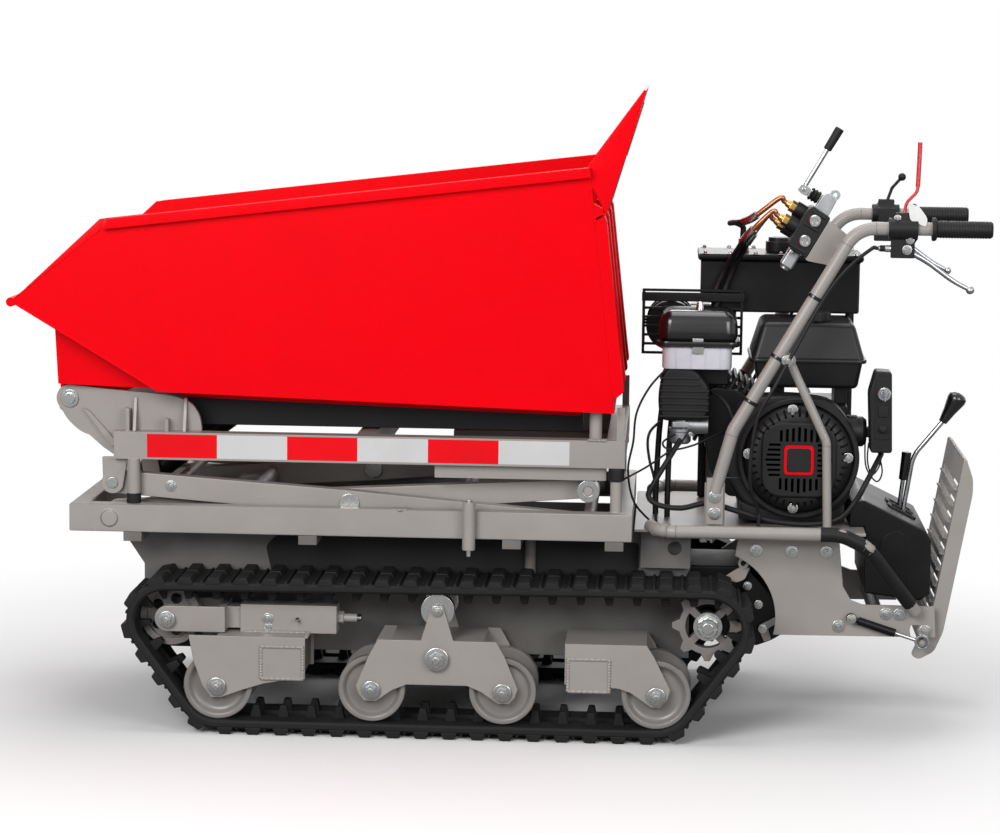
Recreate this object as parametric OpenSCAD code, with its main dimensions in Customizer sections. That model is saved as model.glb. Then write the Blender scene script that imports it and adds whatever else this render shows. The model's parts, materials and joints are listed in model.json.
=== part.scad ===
// Tracked power carrier with a scissor lift and a tipping bin.
// Millimetres, +Z up. The bin lip points to -X, the operator stands at +X,
// the left side of the machine is -Y. The floor is at z = 0.

/* [Overall] */
// Bin lip to the ends of the grips
overall_l = 2100; // [1800:10:2400]
// Faces of arcs and tubes
$fn = 48; // [24:4:96]

/* [Tracks] */
// Distance between the centre lines of the tracks
track_gauge = 620; // [580:5:700]
// Width of one belt
track_w = 180; // [160:5:200]
// Distance from lug to lug along the belt
track_pitch = 60; // [50:1:80]
// Thickness of the belt without lugs
belt_t = 18; // [14:1:24]
// Height of the lugs that grip the ground
lug_h = 12; // [8:1:20]
// Length of a lug at its foot
lug_l = 34; // [26:1:42]
// Height of the guide horns inside the belt
horn_h = 26; // [16:1:30]
// Width of one row of horns
horn_w = 20; // [14:1:24]
// Clear lane between the two rows of horns
horn_lane = 44; // [40:1:50]
// Depth of the drive lane in the belt
lane_depth = 9; // [5:1:11]

/* [Wheels] */
// Sprocket axle, along the machine
sprocket_x = 464; // [440:1:500]
// Sprocket axle, height
sprocket_z = 246; // [230:1:270]
// Belt radius round the sprocket
sprocket_r = 72; // [66:1:78]
// Teeth of the sprocket
sprocket_teeth = 8; // [6:1:11]
// Idler axle, along the machine
idler_x = -700; // [-730:1:-670]
// Idler axle, height
idler_z = 244; // [230:1:260]
// Radius of the idler
idler_r = 66; // [58:1:72]
// Radius of the track rollers
roller_r = 74; // [66:1:78]
// Front roller, along the machine
front_roller_x = -588; // [-610:1:-570]
// Rear roller, along the machine
rear_roller_x = 356; // [330:1:370]
// Pivot of the bogie, along the machine
bogie_x = -114; // [-140:1:-90]
// Pivot of the bogie, height
bogie_z = 175; // [165:1:185]
// Distance between the rollers of a bogie
bogie_base = 282; // [250:1:300]
// Radius of the carrier roller
carrier_r = 36; // [30:1:40]
// Play between wheels and belt
wheel_gap = 0.5; // [0.3:0.1:3]
// Radius of the roller axles
axle_r = 8; // [6:0.5:10]
// Play between a wheel and its axle
axle_fit = 0.5; // [0.3:0.1:1]

/* [Lift frames] */
// Height of the frame tubes
rail_h = 60; // [50:1:70]
// Width of the frame tubes
rail_w = 40; // [30:1:50]
// Wall of the frame tubes
rail_wall = 5; // [3:0.5:8]
// Underside of the lower frame
base_z = 427; // [415:1:440]
// Front end of the lower frame
base_x0 = -918; // [-940:1:-900]
// Rear end of the lower frame
base_x1 = 298; // [280:1:310]
// Outer half width of the lower frame
base_y = 340; // [330:1:350]
// Underside of the upper frame
top_z = 583; // [575:1:600]
// Front end of the upper frame
top_x0 = -824; // [-840:1:-810]
// Rear end of the upper frame
top_x1 = 280; // [270:1:290]
// Outer half width of the upper frame
top_y = 320; // [310:1:330]

/* [Scissor] */
// Front pivots, along the machine
pivot_x = -830; // [-850:1:-810]
// Front pivots to the rear rollers at rest
arm_reach = 1032; // [980:1:1060]
// Rise of an arm from end to end at rest
arm_rise = 72; // [60:1:84]
// Height of an arm
arm_h = 50; // [40:1:56]
// Thickness of an arm
arm_t = 30; // [20:1:32]
// Outer face of the inner arms
inner_arm_y = 255; // [245:1:256]
// Outer face of the outer arms
outer_arm_y = 292; // [289:1:293]
// Radius of the pivot pins
pin_r = 12; // [9:0.5:13]
// Play round the pins
pin_fit = 0.4; // [0.3:0.1:1]
// Radius of the arm rollers
arm_roller_r = 24; // [20:0.5:24.5]

/* [Bin] */
// Outer half width of the bin
bin_y = 350; // [330:1:360]
// Sheet of the bin
bin_t = 3; // [2.5:0.5:5]
// Height of the pouring lip
lip_z = 922; // [900:1:950]
// Radius of the tube in the lip
lip_r = 10; // [8:1:14]
// Rim at the front, height
rim_z0 = 1103; // [1080:1:1130]
// Rim at the rear, height
rim_z1 = 1228; // [1200:1:1250]
// Width of the folded rim
rim_w = 20; // [15:1:25]
// Height of the spill guard
guard_z = 1390; // [1340:5:1430]
// Tip hinge, along the machine
tip_x = -926; // [-935:1:-915]
// Tip hinge, height
tip_z = 709; // [700:1:720]

/* [Power pack] */
// Top of the engine deck
deck_z = 446; // [441:1:452]
// Thickness of the deck
deck_t = 6; // [4:1:8]
// Crankshaft, along the machine
crank_x = 654; // [640:1:670]
// Crankshaft, height
crank_z = 598; // [590:1:610]
// Radius of the recoil cover
recoil_r = 118; // [100:1:125]

/* [Controls] */
// Half distance between the handlebars
bar_y = 272; // [266:1:285]
// Radius of the handlebar tube
bar_r = 14; // [12:0.5:16]
// Height of the grips
grip_z = 1103; // [1060:1:1140]
// Length of a grip
grip_l = 150; // [120:1:170]
// Radius of a grip
grip_r = 18; // [16:0.5:20]

/* [Platform] */
// Fold axis, along the machine
fold_x = 936; // [925:1:945]
// Fold axis, height
fold_z = 226; // [215:1:240]
// Half width of the standing plate
plate_y = 190; // [160:1:195]
// Length of the standing plate from the fold axis
plate_l = 395; // [300:5:430]
// Lean of the folded plate
plate_lean = 10; // [8:1:15]

/* [Hidden] */

red = [0.86, 0.05, 0.07];
grey = [0.62, 0.60, 0.58];
black = [0.08, 0.08, 0.09];
steel = [0.75, 0.76, 0.78];
rubber = [0.13, 0.13, 0.13];
brass = [0.72, 0.52, 0.25];

track_y = track_gauge / 2;
roller_z = lug_h + belt_t + wheel_gap + roller_r;
disc_in = horn_lane / 2 + horn_w + 6;
disc_out = disc_in + 24;
fork_in = disc_out + 4;
fork_t = 6;
side_y = track_y - track_w / 2 - 16;
low_pivot_z = base_z + rail_h / 2;
high_pivot_z = low_pivot_z + arm_rise;
arm_end_x = pivot_x + arm_reach;
mid_x = pivot_x + arm_reach / 2;
mid_z = low_pivot_z + arm_rise / 2;
lip_x = -overall_l / 2 + lip_r;
grip_x1 = overall_l / 2;
rail_in = base_y - rail_w;
top_in = top_y - rail_w;

// The lift and tip cylinders: base eye, rod eye.
lift_p = [-722, 285];
lift_q = [-600, 470];
lift_y = 118;
tip_p = [-790, 510];
tip_q = [-560, 685];
gas_p = [776, 252];
gas_q = [930, 203];
gas_y = -230;

// Basic solids
module both_sides() {
  children();
  mirror([0, 1, 0]) children();
}

module block(x0, x1, y0, y1, z0, z1) {
  translate([x0, y0, z0]) cube([x1 - x0, y1 - y0, z1 - z0]);
}

module plate_xz(pts, y0, y1) {
  translate([0, y1, 0]) rotate([90, 0, 0]) linear_extrude(y1 - y0) polygon(pts);
}

module rod_y(x, z, r, y0, y1) {
  translate([x, y0, z]) rotate([-90, 0, 0]) cylinder(r = r, h = y1 - y0);
}

module rod_between(a, b, r) {
  v = b - a;
  translate(a) rotate([0, acos(v[2] / norm(v)), atan2(v[1], v[0])]) cylinder(r = r, h = norm(v));
}

function unit(v) = v / norm(v);

// A bent tube: straight lengths, with a part of a ring at each corner.
function turn_at(p, i) = acos(unit(p[i] - p[i - 1]) * unit(p[i + 1] - p[i]));
function setback(p, i, bend) = i == 0 || i == len(p) - 1 ? 0 : bend * tan(turn_at(p, i) / 2) - 0.5;

module bent_tube(p, r, bend) {
  for (i = [0 : len(p) - 2]) {
    d = unit(p[i + 1] - p[i]);
    rod_between(p[i] + d * setback(p, i, bend), p[i + 1] - d * setback(p, i + 1, bend), r);
  }
  for (i = [1 : len(p) - 2]) {
    d = unit(p[i] - p[i - 1]);
    e = unit(p[i + 1] - p[i]);
    n = unit(e - d * (d * e));
    w = cross(-n, d);
    level = abs(n[2]) > 0.9999;
    translate(p[i] - d * bend * tan(turn_at(p, i) / 2) + n * bend)
      rotate(level ? [0, n[2] * 90, atan2(-d[0], d[1])] : [atan2(d[2], w[2]), asin(n[2]), atan2(-n[1], -n[0])])
        rotate_extrude(angle = turn_at(p, i)) translate([bend, 0]) circle(r = r + 0.15);
  }
}

// A frame along a cylinder: local +X runs from p to q in the XZ plane.
module along(p, q, y) {
  translate([p[0], y, p[1]]) rotate([0, -atan2(q[1] - p[1], q[0] - p[0]), 0]) children();
}

function span(p, q) = norm(q - p);

// A cord: points on a smooth route, then rings of eight corners on it.
function smooth(a, b, c, d, t) =
  0.5 * (2 * b + (c - a) * t + (2 * a - 5 * b + 4 * c - d) * t * t + (3 * b - a - 3 * c + d) * t * t * t);
function route(p, steps) = let (n = len(p)) concat(
  [for (i = [0 : n - 2]) for (k = [0 : steps - 1])
    smooth(p[max(i - 1, 0)], p[i], p[i + 1], p[min(i + 2, n - 1)], k / steps)], [p[n - 1]]);
function heading(p, i) = unit(p[min(i + 1, len(p) - 1)] - p[max(i - 1, 0)]);
function across(u, t) = unit(u - t * (u * t));
function sides(p) = [for (i = 0, u = across([0.31, 0.87, 0.38], heading(p, 0)); i < len(p);
  i = i + 1, u = i < len(p) ? across(u, heading(p, i)) : u) u];

module cord(pts, r, steps = 5) {
  p = route(pts, steps);
  u = sides(p);
  n = len(p);
  m = 8;
  rings = [for (i = [0 : n - 1]) let (t = heading(p, i), w = cross(t, u[i]))
    for (k = [0 : m - 1]) p[i] + r * (cos(360 * k / m) * u[i] + sin(360 * k / m) * w)];
  wall_a = [for (i = [0 : n - 2]) for (k = [0 : m - 1]) [i * m + k, (i + 1) * m + k, i * m + (k + 1) % m]];
  wall_b = [for (i = [0 : n - 2]) for (k = [0 : m - 1])
    [i * m + (k + 1) % m, (i + 1) * m + k, (i + 1) * m + (k + 1) % m]];
  cap_a = [for (k = [1 : m - 2]) [0, k, k + 1]];
  cap_b = [for (k = [1 : m - 2]) [(n - 1) * m, (n - 1) * m + k + 1, (n - 1) * m + k]];
  polyhedron(points = rings, faces = concat(wall_a, wall_b, cap_a, cap_b));
}

// Route of the belt: four circles, each followed by a straight run to the next.
loop_c = [[sprocket_x, sprocket_z], [idler_x, idler_z], [front_roller_x, roller_z], [rear_roller_x, roller_z]];
loop_r = [sprocket_r, idler_r + wheel_gap, roller_r + wheel_gap, roller_r + wheel_gap];
function after(i) = (i + 1) % 4;
function before(i) = (i + 3) % 4;
function turn(a) = a - 360 * floor(a / 360);
function run_normal(i) = let (d = loop_c[after(i)] - loop_c[i])
  atan2(d[1], d[0]) - acos((loop_r[i] - loop_r[after(i)]) / norm(d));
function run_length(i) = let (d = loop_c[after(i)] - loop_c[i], e = loop_r[i] - loop_r[after(i)])
  sqrt(d * d - e * e);
function wrap_angle(i) = turn(run_normal(i) - run_normal(before(i)));
function wrap_length(i) = (loop_r[i] + belt_t / 2) * wrap_angle(i) * PI / 180;
function compass(a) = [cos(a), sin(a)];
leg = [for (i = [0 : 3]) run_length(i) + wrap_length(after(i))];
belt_length = leg[0] + leg[1] + leg[2] + leg[3];
lug_count = round(belt_length / track_pitch);
function on_leg(i, s, h) = s < run_length(i)
  ? loop_c[i] + (loop_r[i] + h) * compass(run_normal(i)) + s * compass(run_normal(i) + 90)
  : let (j = after(i), a = run_normal(i) + (s - run_length(i)) / (loop_r[j] + belt_t / 2) * 180 / PI)
    loop_c[j] + (loop_r[j] + h) * compass(a);
function on_belt(s, h, i = 0) = i < 3 && s >= leg[i] ? on_belt(s - leg[i], h, i + 1) : on_leg(i, s, h);
function lap(s) = s - belt_length * floor(s / belt_length);
function toothed(foot, tip, h0, h1) = [for (k = [0 : lug_count - 1])
  let (s = (k + 0.5) * belt_length / lug_count)
  for (e = [[-foot / 2, h0], [-tip / 2, h1], [tip / 2, h1], [foot / 2, h0]]) on_belt(lap(s + e[0]), e[1])];
carrier_x = bogie_x;
carrier_z = loop_c[0][1] + (carrier_x - sprocket_x) / (idler_x - sprocket_x) * (idler_z - sprocket_z)
  + loop_r[0] + (carrier_x - sprocket_x) / (idler_x - sprocket_x) * (loop_r[1] - loop_r[0])
  - wheel_gap - carrier_r;

// Outline of the belt at height h over its inner face, with a corner every few degrees of each wrap.
wrap_step = 6;
function wrap_corners(i) = ceil(wrap_angle(i) / wrap_step);
function loop_outline(h) = [for (i = [0 : 3]) for (k = [0 : wrap_corners(i)])
  loop_c[i] + (loop_r[i] + h) * compass(run_normal(before(i)) + wrap_angle(i) * k / wrap_corners(i))];

module belt_ring(y0, y1) {
  translate([0, y1, 0]) rotate([90, 0, 0]) linear_extrude(y1 - y0) children();
}

module track_belts() color(rubber) both_sides() translate([0, -track_y, 0]) difference() {
  belt_ring(-track_w / 2, track_w / 2) polygon(toothed(lug_l, lug_l * 0.7, belt_t, belt_t + lug_h));
  belt_ring(-track_w / 2 - 1, -horn_lane / 2 - horn_w) polygon(loop_outline(0));
  belt_ring(horn_lane / 2 + horn_w, track_w / 2 + 1) polygon(loop_outline(0));
  for (y = [-horn_lane / 2 - horn_w, horn_lane / 2])
    belt_ring(y, y + horn_w) polygon(toothed(lug_l * 0.6, lug_l * 0.36, 0, -horn_h));
  belt_ring(-horn_lane / 2, horn_lane / 2) polygon(loop_outline(0));
  belt_ring(-horn_lane / 2 + 2, horn_lane / 2 - 2) polygon(loop_outline(lane_depth));
}

// Wheels of the running gear
module wheel(profile) {
  rotate([90, 0, 0]) rotate_extrude() polygon(profile);
}

module road_wheel(r) {
  b = axle_r + axle_fit;
  wheel([[b, -disc_out - 1], [24, -disc_out - 1], [24, -disc_out + 7], [r - 12, -disc_out + 7],
    [r - 12, -disc_out], [r, -disc_out], [r, -disc_in], [24, -disc_in], [24, disc_in], [r, disc_in],
    [r, disc_out], [r - 12, disc_out], [r - 12, disc_out - 7], [24, disc_out - 7],
    [24, disc_out + 1], [b, disc_out + 1]]);
}

module front_rollers() color(black) both_sides()
  translate([front_roller_x, -track_y, roller_z]) road_wheel(roller_r);
module rear_rollers() color(black) both_sides()
  translate([rear_roller_x, -track_y, roller_z]) road_wheel(roller_r);
module bogie_front_rollers() color(black) both_sides()
  translate([bogie_x - bogie_base / 2, -track_y, roller_z]) road_wheel(roller_r - 2);
module bogie_rear_rollers() color(black) both_sides()
  translate([bogie_x + bogie_base / 2, -track_y, roller_z]) road_wheel(roller_r - 2);

module carrier_rollers() color(steel) both_sides() translate([carrier_x, -track_y, carrier_z]) {
  b = 5 + axle_fit;
  wheel([[b, -disc_out], [carrier_r, -disc_out], [carrier_r, -disc_in], [9, -disc_in], [9, disc_in],
    [carrier_r, disc_in], [carrier_r, disc_out], [b, disc_out]]);
}

module idler_wheels() color(black) both_sides() translate([idler_x, -track_y, idler_z]) difference() {
  wheel([[axle_r + axle_fit, -horn_lane / 2], [20, -horn_lane / 2], [20, -6], [idler_r - 14, -6],
    [idler_r - 14, -16], [idler_r, -16], [idler_r, 16], [idler_r - 14, 16], [idler_r - 14, 6], [20, 6],
    [20, horn_lane / 2], [axle_r + axle_fit, horn_lane / 2]]);
  for (a = [0 : 72 : 359]) rotate([0, a, 0]) rod_y(36, 0, 12, -20, 20);
}

module sprocket_body() {
  belt_ring(-14, 14) difference() {
    union() {
      circle(r = sprocket_r - 10);
      for (k = [0 : sprocket_teeth - 1]) rotate(360 * k / sprocket_teeth)
        polygon([[50, -16], [sprocket_r - 10, -13], [sprocket_r + 5, -6], [sprocket_r + 5, 6],
          [sprocket_r - 10, 13], [50, 16]]);
    }
    difference() {
      circle(r = sprocket_r - 24);
      circle(r = 28);
      for (a = [45, 135]) rotate(a) square([sprocket_r * 2, 16], center = true);
    }
  }
  rod_y(0, 0, 28, -18, 22);
  rod_y(0, 0, 16, -34, track_y - 125);
  difference() {
    rod_y(0, 0, 20, -44, -18);
    for (a = [0 : 60 : 179]) rotate([0, a, 0]) block(-30, 30, -45, -37, -3, 3);
  }
}

module sprocket_left() color(grey) translate([sprocket_x, -track_y, sprocket_z]) sprocket_body();
module sprocket_right() color(grey) mirror([0, 1, 0])
  translate([sprocket_x, -track_y, sprocket_z]) rotate([0, 22.5, 0]) sprocket_body();

// Track frames
tube_front = [-490, -406, 126, 190];
tube_rear = [170, 252, 114, 178];
fork_out = fork_in + fork_t;
web_z = 214;

module fork(pts, x0, x1, z1) {
  for (y = [-fork_out, fork_in]) plate_xz(pts, y, y + fork_t);
  block(x0, x1, -fork_out, fork_out, z1 - 8, z1);
}

module axle_through(x, z, r) {
  rod_y(x, z, r, -fork_out - 6, fork_out + 6);
  rod_y(x, z, r + 5, -fork_out - 6, -fork_out + 1);
  rod_y(x, z, r + 5, fork_out - 1, fork_out + 6);
}

fork_foot = roller_z - 25;
front_fork_pts = [[-650, idler_z - 30], [-398, idler_z - 30], [-398, 123], [-435, 121], [-486, 112], [-536, 96],
  [front_roller_x + 22, fork_foot + 5], [front_roller_x + 8, fork_foot], [front_roller_x - 14, fork_foot],
  [front_roller_x - 32, roller_z], [-640, 160]];
rear_fork_pts = [[160, web_z], [334, web_z], [350, 190], [rear_roller_x + 30, 118], [rear_roller_x + 24, 96],
  [rear_roller_x + 8, fork_foot], [rear_roller_x - 10, fork_foot], [rear_roller_x - 54, 110],
  [275, 119], [160, 125]];
tension_z = [idler_z - 30, idler_z + 30];

module roller_brackets() color(grey) both_sides() translate([0, -track_y, 0]) {
  difference() {
    union() {
      fork(front_fork_pts, -590, -398, idler_z - 30);
      fork(rear_fork_pts, 160, 334, web_z);
    }
    for (t = [tube_front, tube_rear])
      block(t[0] - 0.3, t[1] + 0.3, -track_w, track_w, t[2] - 0.3, t[3] + 0.3);
  }
  axle_through(front_roller_x, roller_z, axle_r);
  axle_through(rear_roller_x, roller_z, axle_r);
  difference() {
    block(-545, -336, -30, 30, tension_z[0] - 1, tension_z[1]);
    block(-546, -350, -24, 24, tension_z[0] + 6, tension_z[1] - 6);
  }
  translate([-340, 0, idler_z]) rotate([0, 90, 0]) cylinder(r = 9, h = 46);
  translate([-337, 0, idler_z]) rotate([0, 90, 0]) cylinder(r = 15, h = 14, $fn = 6);
}

module idler_yokes() color(grey) both_sides() translate([0, -track_y, idler_z]) {
  for (y = [-56, 48]) {
    plate_xz([[idler_x, -28], [-575, -28], [-575, 28], [idler_x, 28]], y, y + 8);
    rod_y(idler_x, 0, 28, y, y + 8);
  }
  block(-590, -575, -56, 56, -28, 28);
  block(-580, -410, -23.6, 23.6, -23.6, 23.6);
  rod_y(idler_x, 0, axle_r, -66, 66);
  for (y = [-66, 56]) rod_y(idler_x, 0, axle_r + 6, y, y + 10);
}

bogie_half = [[127, web_z], [146, 180], [174, 112], [168, 94], [156, fork_foot], [132, fork_foot], [120, 87],
  [96, 104], [65, 117]];
function mirrored(p) = [for (i = [len(p) - 1 : -1 : 0]) [-p[i][0], p[i][1]]];
bogie_pts = [for (q = concat(bogie_half, mirrored(bogie_half))) [bogie_x + q[0], q[1]]];
carrier_pts = [[carrier_x - 36, web_z - 4], [carrier_x + 36, web_z - 4], [carrier_x + 12, carrier_z + 12],
  [carrier_x - 12, carrier_z + 12]];

module bogies() color(grey) both_sides() translate([0, -track_y, 0]) {
  difference() {
    union() {
      fork(bogie_pts, bogie_x - 100, bogie_x + 100, web_z);
      for (y = [-fork_out, fork_in]) plate_xz(carrier_pts, y, y + fork_t);
    }
    rod_y(bogie_x, bogie_z, pin_r + 4 + axle_fit, -track_w, track_w);
  }
  for (e = [-1, 1]) axle_through(bogie_x + e * bogie_base / 2, roller_z, axle_r);
  rod_y(carrier_x, carrier_z, 5, -fork_out - 3, fork_out + 3);
}

// Chassis
chassis_pts = [[-840, base_z], [-778, 335], [-778, 175], [-750, 150], [425, 150], [425, deck_z - deck_t],
  [base_x1 + 4, deck_z - deck_t], [base_x1 + 4, base_z]];

module chassis_frame() color(grey) {
  both_sides() {
    plate_xz(chassis_pts, -side_y, -side_y + 8);
    for (t = [tube_front, tube_rear]) difference() {
      block(t[0], t[1], -track_y - fork_out, -side_y + 4, t[2], t[3]);
      block(t[0] + 5, t[1] - 5, -track_y - fork_out - 1, -side_y - 4, t[2] + 5, t[3] - 5);
    }
    rod_y(bogie_x, bogie_z, pin_r + 4, -track_y - fork_out - 4, -side_y + 4);
    rod_y(bogie_x, bogie_z, pin_r + 12, -track_y - track_w / 2, -track_y - fork_out - 2);
    for (x = [-800, -420, 20, 240]) block(x, x + 40, -base_y, -side_y + 4, base_z - 20, base_z);
    difference() {
      block(316, 424, -side_y - 28, -side_y + 2, 354, deck_z - deck_t);
      block(321, 419, -side_y - 24, -side_y + 1, 350, deck_z - deck_t - 5);
      rod_y(390, 398, 15, -side_y - 40, -side_y - 20);
    }
    for (y = [-lift_y - 22, -lift_y + 14]) plate_xz([[-768, 226], [-728, 226], [-704, 285], [-722, 304],
      [-742, 290]], y, y + 8);
    rod_y(lift_p[0], lift_p[1], 10, -lift_y - 22, -lift_y + 22);
  }
  block(-750, 425, -side_y, side_y, 150, 158);
  rod_y(-748, 244, 20, -side_y + 2, side_y - 2);
  plate_xz([[-778, 335], [-772, 335], [-772, 175], [-778, 175]], -side_y, side_y);
}

module lift_base_frame() color(grey) {
  both_sides() {
    difference() {
      block(base_x0, base_x1, -base_y, -rail_in, base_z, base_z + rail_h);
      block(base_x0 + rail_w, base_x1 - rail_w, -base_y + rail_wall, -rail_in + 1,
        base_z + rail_wall, base_z + rail_h - rail_wall);
    }
    rod_y(pivot_x, low_pivot_z, pin_r, -base_y + 2, -inner_arm_y + arm_t + 6);
    rod_y(pivot_x, low_pivot_z, pin_r + 10, -base_y + 2, -inner_arm_y - 3);
    rod_y(pivot_x, low_pivot_z, pin_r + 6, -base_y - 4, -base_y + 2);
    rod_y(pivot_x, low_pivot_z, pin_r + 6, -inner_arm_y + arm_t + 3, -inner_arm_y + arm_t + 9);
    translate([262, -base_y + 30, base_z + rail_h - 2]) cylinder(r = 12.5, h = 70);
    translate([-200, -base_y + 14, base_z + rail_h - 2]) cylinder(r = 17, h = 5);
  }
  for (x = [base_x0, base_x1 - rail_w]) difference() {
    block(x, x + rail_w, -rail_in - 1, rail_in + 1, base_z, base_z + rail_h);
    block(x + rail_wall, x + rail_w - rail_wall, -rail_in, rail_in,
      base_z + rail_wall, base_z + rail_h - rail_wall);
  }
}

module rest_buffers() color(rubber) both_sides() {
  translate([262, -base_y + 30, base_z + rail_h + 68]) cylinder(r = 17, h = top_z - base_z - rail_h - 68.5);
  translate([-782, -base_y + 30, base_z + rail_h]) cylinder(r = 16, h = 20);
}

// Scissor arms
function arm_at(x, up) = low_pivot_z + (up ? 0 : arm_rise)
  + (up ? 1 : -1) * arm_rise / arm_reach * (x - pivot_x);

module arm_blade(y, up) {
  h = arm_h / 2;
  plate_xz([[pivot_x, arm_at(pivot_x, up) - h], [mid_x, arm_at(mid_x, up) - h - 2],
    [arm_end_x, arm_at(arm_end_x, up) - h + 4], [arm_end_x, arm_at(arm_end_x, up) + h - 4],
    [mid_x, arm_at(mid_x, up) + h + 2], [pivot_x, arm_at(pivot_x, up) + h]], -y, -y + arm_t);
  rod_y(pivot_x, arm_at(pivot_x, up), h, -y, -y + arm_t);
  rod_y(arm_end_x, arm_at(arm_end_x, up), h - 4, -y, -y + arm_t);
}

lug_tube_x = -552;
module inner_arms() color(grey) {
  both_sides() {
    difference() {
      arm_blade(inner_arm_y, true);
      rod_y(pivot_x, low_pivot_z, pin_r + pin_fit, -400, 0);
      rod_y(mid_x, mid_z, pin_r, -400, 0);
    }
    rod_y(arm_end_x, high_pivot_z, 10, -outer_arm_y - 5, -inner_arm_y + 4);
    for (y = [-lift_y - 24, -lift_y + 16])
      plate_xz([[lift_q[0] - 16, lift_q[1] - 14], [lift_q[0] + 4, lift_q[1] - 20], [lug_tube_x + 8, 462],
        [lug_tube_x + 4, 492], [lift_q[0] - 12, lift_q[1] + 18]], y, y + 8);
  }
  for (x = [lug_tube_x, -60]) rod_y(x, arm_at(x, true), 17, -inner_arm_y + arm_t - 2, inner_arm_y - arm_t + 2);
}

module outer_arms() color(grey) {
  both_sides() {
    difference() {
      arm_blade(outer_arm_y, false);
      rod_y(pivot_x, high_pivot_z, pin_r + pin_fit, -400, 0);
      rod_y(mid_x, mid_z, pin_r + pin_fit, -400, 0);
    }
    rod_y(arm_end_x, low_pivot_z, 10, -base_y + rail_wall + 2, -outer_arm_y + 4);
  }
  rod_y(-700, arm_at(-700, false), 12, -outer_arm_y + arm_t - 2, outer_arm_y - arm_t + 2);
  rod_y(arm_end_x, low_pivot_z, 14, -outer_arm_y + arm_t - 2, outer_arm_y - arm_t + 2);
}

module arm_wheel(y0, y1) {
  difference() {
    rod_y(0, 0, arm_roller_r, y0, y1);
    rod_y(0, 0, 10 + axle_fit, y0 - 1, y1 + 1);
  }
}

module upper_arm_rollers() color(steel) both_sides() translate([arm_end_x, 0, high_pivot_z])
  arm_wheel(-outer_arm_y - 3, -inner_arm_y - 4);
module lower_arm_rollers() color(steel) both_sides() translate([arm_end_x, 0, low_pivot_z])
  arm_wheel(-base_y + rail_wall + 2, -rail_in - 2);

module centre_bolts() color(steel) both_sides() {
  rod_y(mid_x, mid_z, pin_r, -outer_arm_y - 2, -inner_arm_y + arm_t + 2);
  rod_y(mid_x, mid_z, pin_r + 9, -outer_arm_y - 6, -outer_arm_y - 1);
  rod_y(mid_x, mid_z, pin_r + 8, -inner_arm_y + arm_t, -inner_arm_y + arm_t + 10);
}

// Upper frame with the tip hinge
hinge_in = top_in - 12;
runway_z = high_pivot_z + arm_roller_r + 0.6;

module upper_frame() color(grey) {
  both_sides() {
    difference() {
      block(top_x0, top_x1, -top_y, -top_in, top_z, top_z + rail_h);
      block(top_x0 + rail_wall, top_x1 + 1, -top_y + rail_wall, -top_in - rail_wall,
        top_z + rail_wall, top_z + rail_h - rail_wall);
    }
    difference() {
      union() {
        plate_xz([[tip_x - 24, tip_z - 22], [tip_x - 8, tip_z + 28], [tip_x + 40, tip_z + 20],
          [-690, top_z + rail_h], [-640, top_z + rail_h], [-640, top_z + 6], [top_x0, top_z],
          [top_x0 - 30, top_z + 20]], -top_in - 1, -hinge_in);
        rod_y(tip_x, tip_z, 30, -top_in - 1, -hinge_in);
      }
      rod_y(tip_x, tip_z, pin_r, -400, 0);
    }
    plate_xz([[tip_x + 30, tip_z - 20], [tip_x + 44, tip_z - 26], [top_x0 + 10, top_z + 24],
      [top_x0 - 10, top_z + 24]],
      -top_in - 12, -top_in);
    for (x = [-800, -715]) plate_xz([[x, top_z + rail_h], [x + 8, top_z + rail_h], [x + 8, 690 - (x + 800) / 4],
      [x, 692 - (x + 800) / 4]], -top_in - 26, -top_in);
    difference() {
      union() {
        plate_xz([[pivot_x - 22, top_z + 2], [-796, top_z + 2], [-808, high_pivot_z - 12],
          [pivot_x - 20, high_pivot_z - 10]],
          -outer_arm_y - 12, -outer_arm_y - 2);
        rod_y(pivot_x, high_pivot_z, 24, -outer_arm_y - 12, -outer_arm_y - 2);
      }
      rod_y(pivot_x, high_pivot_z, pin_r, -400, 0);
    }
    translate([-782, -base_y + 30, base_z + rail_h + 21]) cylinder(r = 14, h = top_z - base_z - rail_h - 20);
    block(-130, 240, -outer_arm_y - 8, -inner_arm_y - 3, runway_z, top_z + 1);
    translate([216, -top_y + 20, top_z + rail_h - 1]) cylinder(r = 13.5, h = 60);
    block(262, 278, -top_y, -top_y + 8, top_z + rail_h - 1, 714);
    for (y = [-36, 28]) plate_xz([[-822, top_z + 2], [-786, top_z + 2], [tip_p[0] + 20, tip_p[1] - 10],
      [tip_p[0] + 6, tip_p[1] - 20], [tip_p[0] - 18, tip_p[1] - 14]], y, y + 8);
  }
  rod_y(tip_p[0], tip_p[1], 11, -34, 34);
  for (x = [top_x0, -300, top_x1 - rail_w]) difference() {
    block(x, x + rail_w, -top_in - 1, top_in + 1, top_z, top_z + rail_h);
    block(top_x0 + 14, top_x0 + rail_w + 1, -27.6, 27.6, top_z - 1, top_z + rail_h + 1);
  }
}

module frame_pins() color(steel) both_sides() {
  rod_y(pivot_x, high_pivot_z, pin_r, -outer_arm_y - 16, -outer_arm_y + arm_t + 2);
  rod_y(pivot_x, high_pivot_z, pin_r + 6, -outer_arm_y + arm_t + 1, -outer_arm_y + arm_t + 6);
  rod_y(tip_x, tip_z, pin_r, -top_in - 14, -hinge_in + 20);
  rod_y(tip_x, tip_z, pin_r + 7, -top_in - 7, -top_in - 2);
}

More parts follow.
